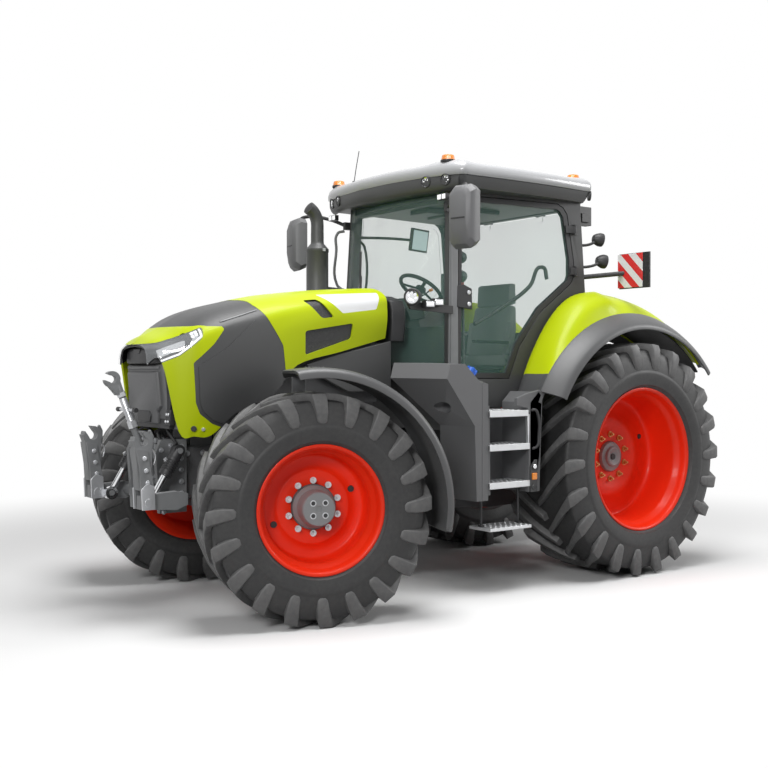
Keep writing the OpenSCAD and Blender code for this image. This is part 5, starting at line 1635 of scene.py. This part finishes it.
nut(bm, aerial[0], (0, 0, 1), 0.030, 0.030, sides=16)
pipe(bm, aerial, 0.0035)
part("work_lamp_set", bm, [BLACK, REFLECTOR, LED], "chassis", ["work_lamps"], bevel=0.003, crease=40)
print("work lamps set")

# %% [markdown]
# A sign's stripes need no picture: the sum of two coordinates, folded into a saw
# tooth, says which band a point lies in.

# %% Striped signs
f = Finish("striped_sheet")
where = f.node("ShaderNodeSeparateXYZ", Vector=f.place())
across = Wire(f.tree, where.socket.node.outputs[1])
up = Wire(f.tree, where.socket.node.outputs[2])
mid = mm(0, 1108, 2476)
band = f.node("ShaderNodeMath", {"operation": "ABSOLUTE"}, i0=across - MIDDLE_Y) - (mid.y - MIDDLE_Y) + (up - mid.z)
saw = f.node("ShaderNodeMath", {"operation": "FLOORED_MODULO"}, i0=band * 6.4 + 0.25, i1=1.0)
bands = f.mix(saw > 0.5, (0.74, 0.74, 0.74), (0.66, 0.028, 0.026))
sheet = f.node("ShaderNodeBsdfPrincipled", Base_Color=bands, Roughness=0.34 + f.noise(200) * 0.1, Coat_Weight=0.3)
STRIPES = f.done(sheet)
SIGN = [(978, 2338), (1237, 2338), (1237, 2614), (978, 2614)]
SIGN_BACK = [(988, 2330), (1304, 2330), (1304, 2618), (988, 2618)]
bm = bmesh.new()
for s in (1, -1):
    for outline, x0, x1, tone in ((SIGN, 0, 6, 0), (SIGN_BACK, -15, 0, 1), (SIGN, -20, -15, 0)):
        front_plate(bm, [(s * y, z) for y, z in outline], x0, x1, tone)
    pipe(bm, [mm(304, s * 798, 2424), mm(160, s * 900, 2440), mm(-6, s * 1036, 2460)], 0.020, tone=1)
    brick(bm, (-30, s * 1040 - 40, 2420), (-14, s * 1040 + 40, 2500), 1)
part("striped_signs", bm, [STRIPES, BLACK], "chassis", ["warning_signs"], bevel=0.002)
print("signs striped")

# %% [markdown]
# ## Linkages and driveline
# Castings keep their CAD shape with rounded edges and a coarse skin. Bolts, pins and
# hoses are added where a hand would reach for them.

# %% Castings
for node in ("front_frame", "engine_block", "transmission", "front_axle", "knuckle_left", "knuckle_right"):
    dressed(node, CASTING, 0.010, 3)
for node in ("rear_link_left", "rear_link_right", "lift_arms", "hitch"):
    dressed(node, CASTING, 0.005)
for node in ("tie_rod", "lift_rods"):
    dressed(node, LINK_GREY, 0.004)
for node in ("linkage_frame", "front_arms", "front_links"):
    dressed(node, LINK_GREY, 0.006)
dressed("ram_barrels", BLACK, 0.004)
dressed("ram_rods", CHROME, 0.003)
print("castings dressed")


# %% [markdown]
# A bolt is a washer and a six-sided head. The side plates of the front linkage carry a
# column of them, and so do the frame, the axle's ends and the gearbox.


# %% Bolts, hoses and the stowed top link
def bolt(bm, place, axis, across):
    way = Vector(axis).normalized()
    nut(bm, place + way * 0.002, way, across * 1.5, 0.004, sides=18)
    nut(bm, place + way * 0.011, way, across, 0.016)


FACE, PIN_X = WHEELBASE + 590, WHEELBASE + 985
PLATE_Y, FRAME_Y, AXLE_END_Y = 241, 191, 581
bm = bmesh.new()
for s in (1, -1):
    for i in range(6):
        bolt(bm, mm(FACE + 40, s * PLATE_Y, 740 + 80 * i), (0, s, 0), 0.026)
    for x, z in ((FACE + 120, 1150), (FACE + 190, 1120), (FACE + 170, 700)):
        bolt(bm, mm(x, s * PLATE_Y, z), (0, s, 0), 0.024)
    for x in (2100, 2300, 2500, 3300, 3420, 3540):
        bolt(bm, mm(x, s * FRAME_Y, 1085 if x > 2200 else 1010), (0, s, 0), 0.028)
    for i in range(8):
        a = i * pi / 4
        bolt(bm, mm(160 * cos(a), s * AXLE_END_Y, REAR_R + 160 * sin(a)), (0, s, 0), 0.026)
    for x in range(220, 1421, 300):
        bolt(bm, mm(x, s * FRAME_Y, 1120), (0, s, 0), 0.026)
for y in range(-150, 151, 75):
    bolt(bm, mm(FACE + 51, y, 900), (1, 0, 0), 0.024)
part("frame_bolts", bm, STEEL, "chassis", crease=30)

bm = bmesh.new()
foot, head = mm(WHEELBASE + 810, 0, 1115), mm(PIN_X, 0, 1560)
way, grip = (head - foot).normalized(), foot.lerp(head, 0.62)
for i in range(22):
    nut(bm, foot.lerp(head, 0.46 + 0.016 * i), way, 0.054, 0.005, sides=24)
nut(bm, foot.lerp(head, 0.40), way, 0.074, 0.050)
nut(bm, foot.lerp(head, 0.86), way, 0.066, 0.030)
pipe(bm, [grip + own(0, -130, 0), grip + own(0, 130, 0)], 0.011, smooth=False)
for s in (1, -1):
    nut(bm, grip + own(0, s * 135, 0), (0, 1, 0), 0.034, 0.034, 1, sides=16)
    nut(bm, foot + own(0, s * 92, 0), (0, 1, 0), 0.060, 0.010, sides=20)
part("front_top_link", bm, [STEEL, BLACK], "chassis", crease=35)

# places of the hoses' points ahead of the front axle
RAM_HOSE = [(650, 120, 1180), (690, 150, 1250), (720, 250, 1230), (705, 322, 1162)]
ARM_HOSE = [(650, 80, 1160), (720, 90, 1230), (760, 170, 1200), (700, 215, 1060)]
COUPLING = [(0, 0), (0.022, 0), (0.022, 0.03), (0.018, 0.034), (0.018, 0.06), (0, 0.062)]
bm = bmesh.new()
for s in (1, -1):
    for hose, r in ((RAM_HOSE, 0.011), (ARM_HOSE, 0.010)):
        pipe(bm, [mm(WHEELBASE + x, s * y, z) for x, y, z in hose], r)
    brick(bm, (WHEELBASE + 640, s * 100 - 40, 1120), (WHEELBASE + 700, s * 100 + 40, 1190), 1)
    for z in (1136, 1176):
        on_axis(bm, COUPLING, mm(WHEELBASE + 700, s * 100, z), (1, 0, 0), 20, 2)
part("front_hoses", bm, [SEAL, CASTING, STEEL], "chassis", crease=40)

# outlines seen from the side, behind and ahead of the hook's pin
FOOT_PLATE = [(-46, 754), (46, 754), (52, 890), (10, 930), (-40, 905)]
LATCH = [(-38, 1130), (-58, 1150), (-60, 1230), (-40, 1272), (-30, 1262), (-44, 1218), (-40, 1170)]
LATCH_WIRE = [(-50, 1150), (-78, 1100), (-66, 1040)]
HOOK_Y = 420
bm = bmesh.new()
for s in (1, -1):
    for y in (s * (HOOK_Y - 66), s * (HOOK_Y + 66)):
        side_slab(bm, [(PIN_X + x, z) for x, z in FOOT_PLATE], y - 5, y + 5)
        nut(bm, mm(PIN_X, y, 800), (0, s, 0), 0.062, 0.012, sides=24)
    for z in (930, 1010, 1090):
        for y, out in ((481, s), (359, -s)):
            bolt(bm, mm(PIN_X + 4 + (z - 930) * 0.13, s * y, z), (0, out, 0), 0.022)
    side_slab(bm, [(PIN_X + x, z) for x, z in LATCH], s * HOOK_Y - 16, s * HOOK_Y + 16, 1)
    pipe(bm, [mm(PIN_X + x, s * HOOK_Y, z) for x, z in LATCH_WIRE], 0.006)
part("hook_fittings", bm, [STEEL, LINK_GREY], "front_links", bevel=0.003, crease=35)

# place along the barrel, radius and height of each collar
COLLARS = [(0.176, 0.047, 0.026), (0.060, 0.045, 0.016)] + [(0.084 + 0.016 * i, 0.049, 0.008) for i in range(5)]


def on_side(point, side):
    return Vector((point.x, MIDDLE_Y + side * (point.y - MIDDLE_Y), point.z))


bm = bmesh.new()
top, low = mm(WHEELBASE + 700, 330, 1120), mm(WHEELBASE + 900, 330, 790)
run = (low - top).normalized()
for s in (1, -1):
    for along, r, h in COLLARS:
        nut(bm, on_side(top + run * along, s), run, 2 * r, h, sides=28)
    nut(bm, on_side(top + run * 0.11 + own(30, 0, 34), s), (0.6, 0, 0.8), 0.030, 0.030, 1)
part("ram_glands", bm, [BLACK, STEEL], "ram_barrels", crease=35)
print("bolts and hoses set")

# %% [markdown]
# ## Size
# The box round the dressed tractor is printed. It should keep the size of its frame.

# %% Box of the dress
low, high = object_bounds()
print("box of the dress", [round(v, 3) for v in (*low, *high)])
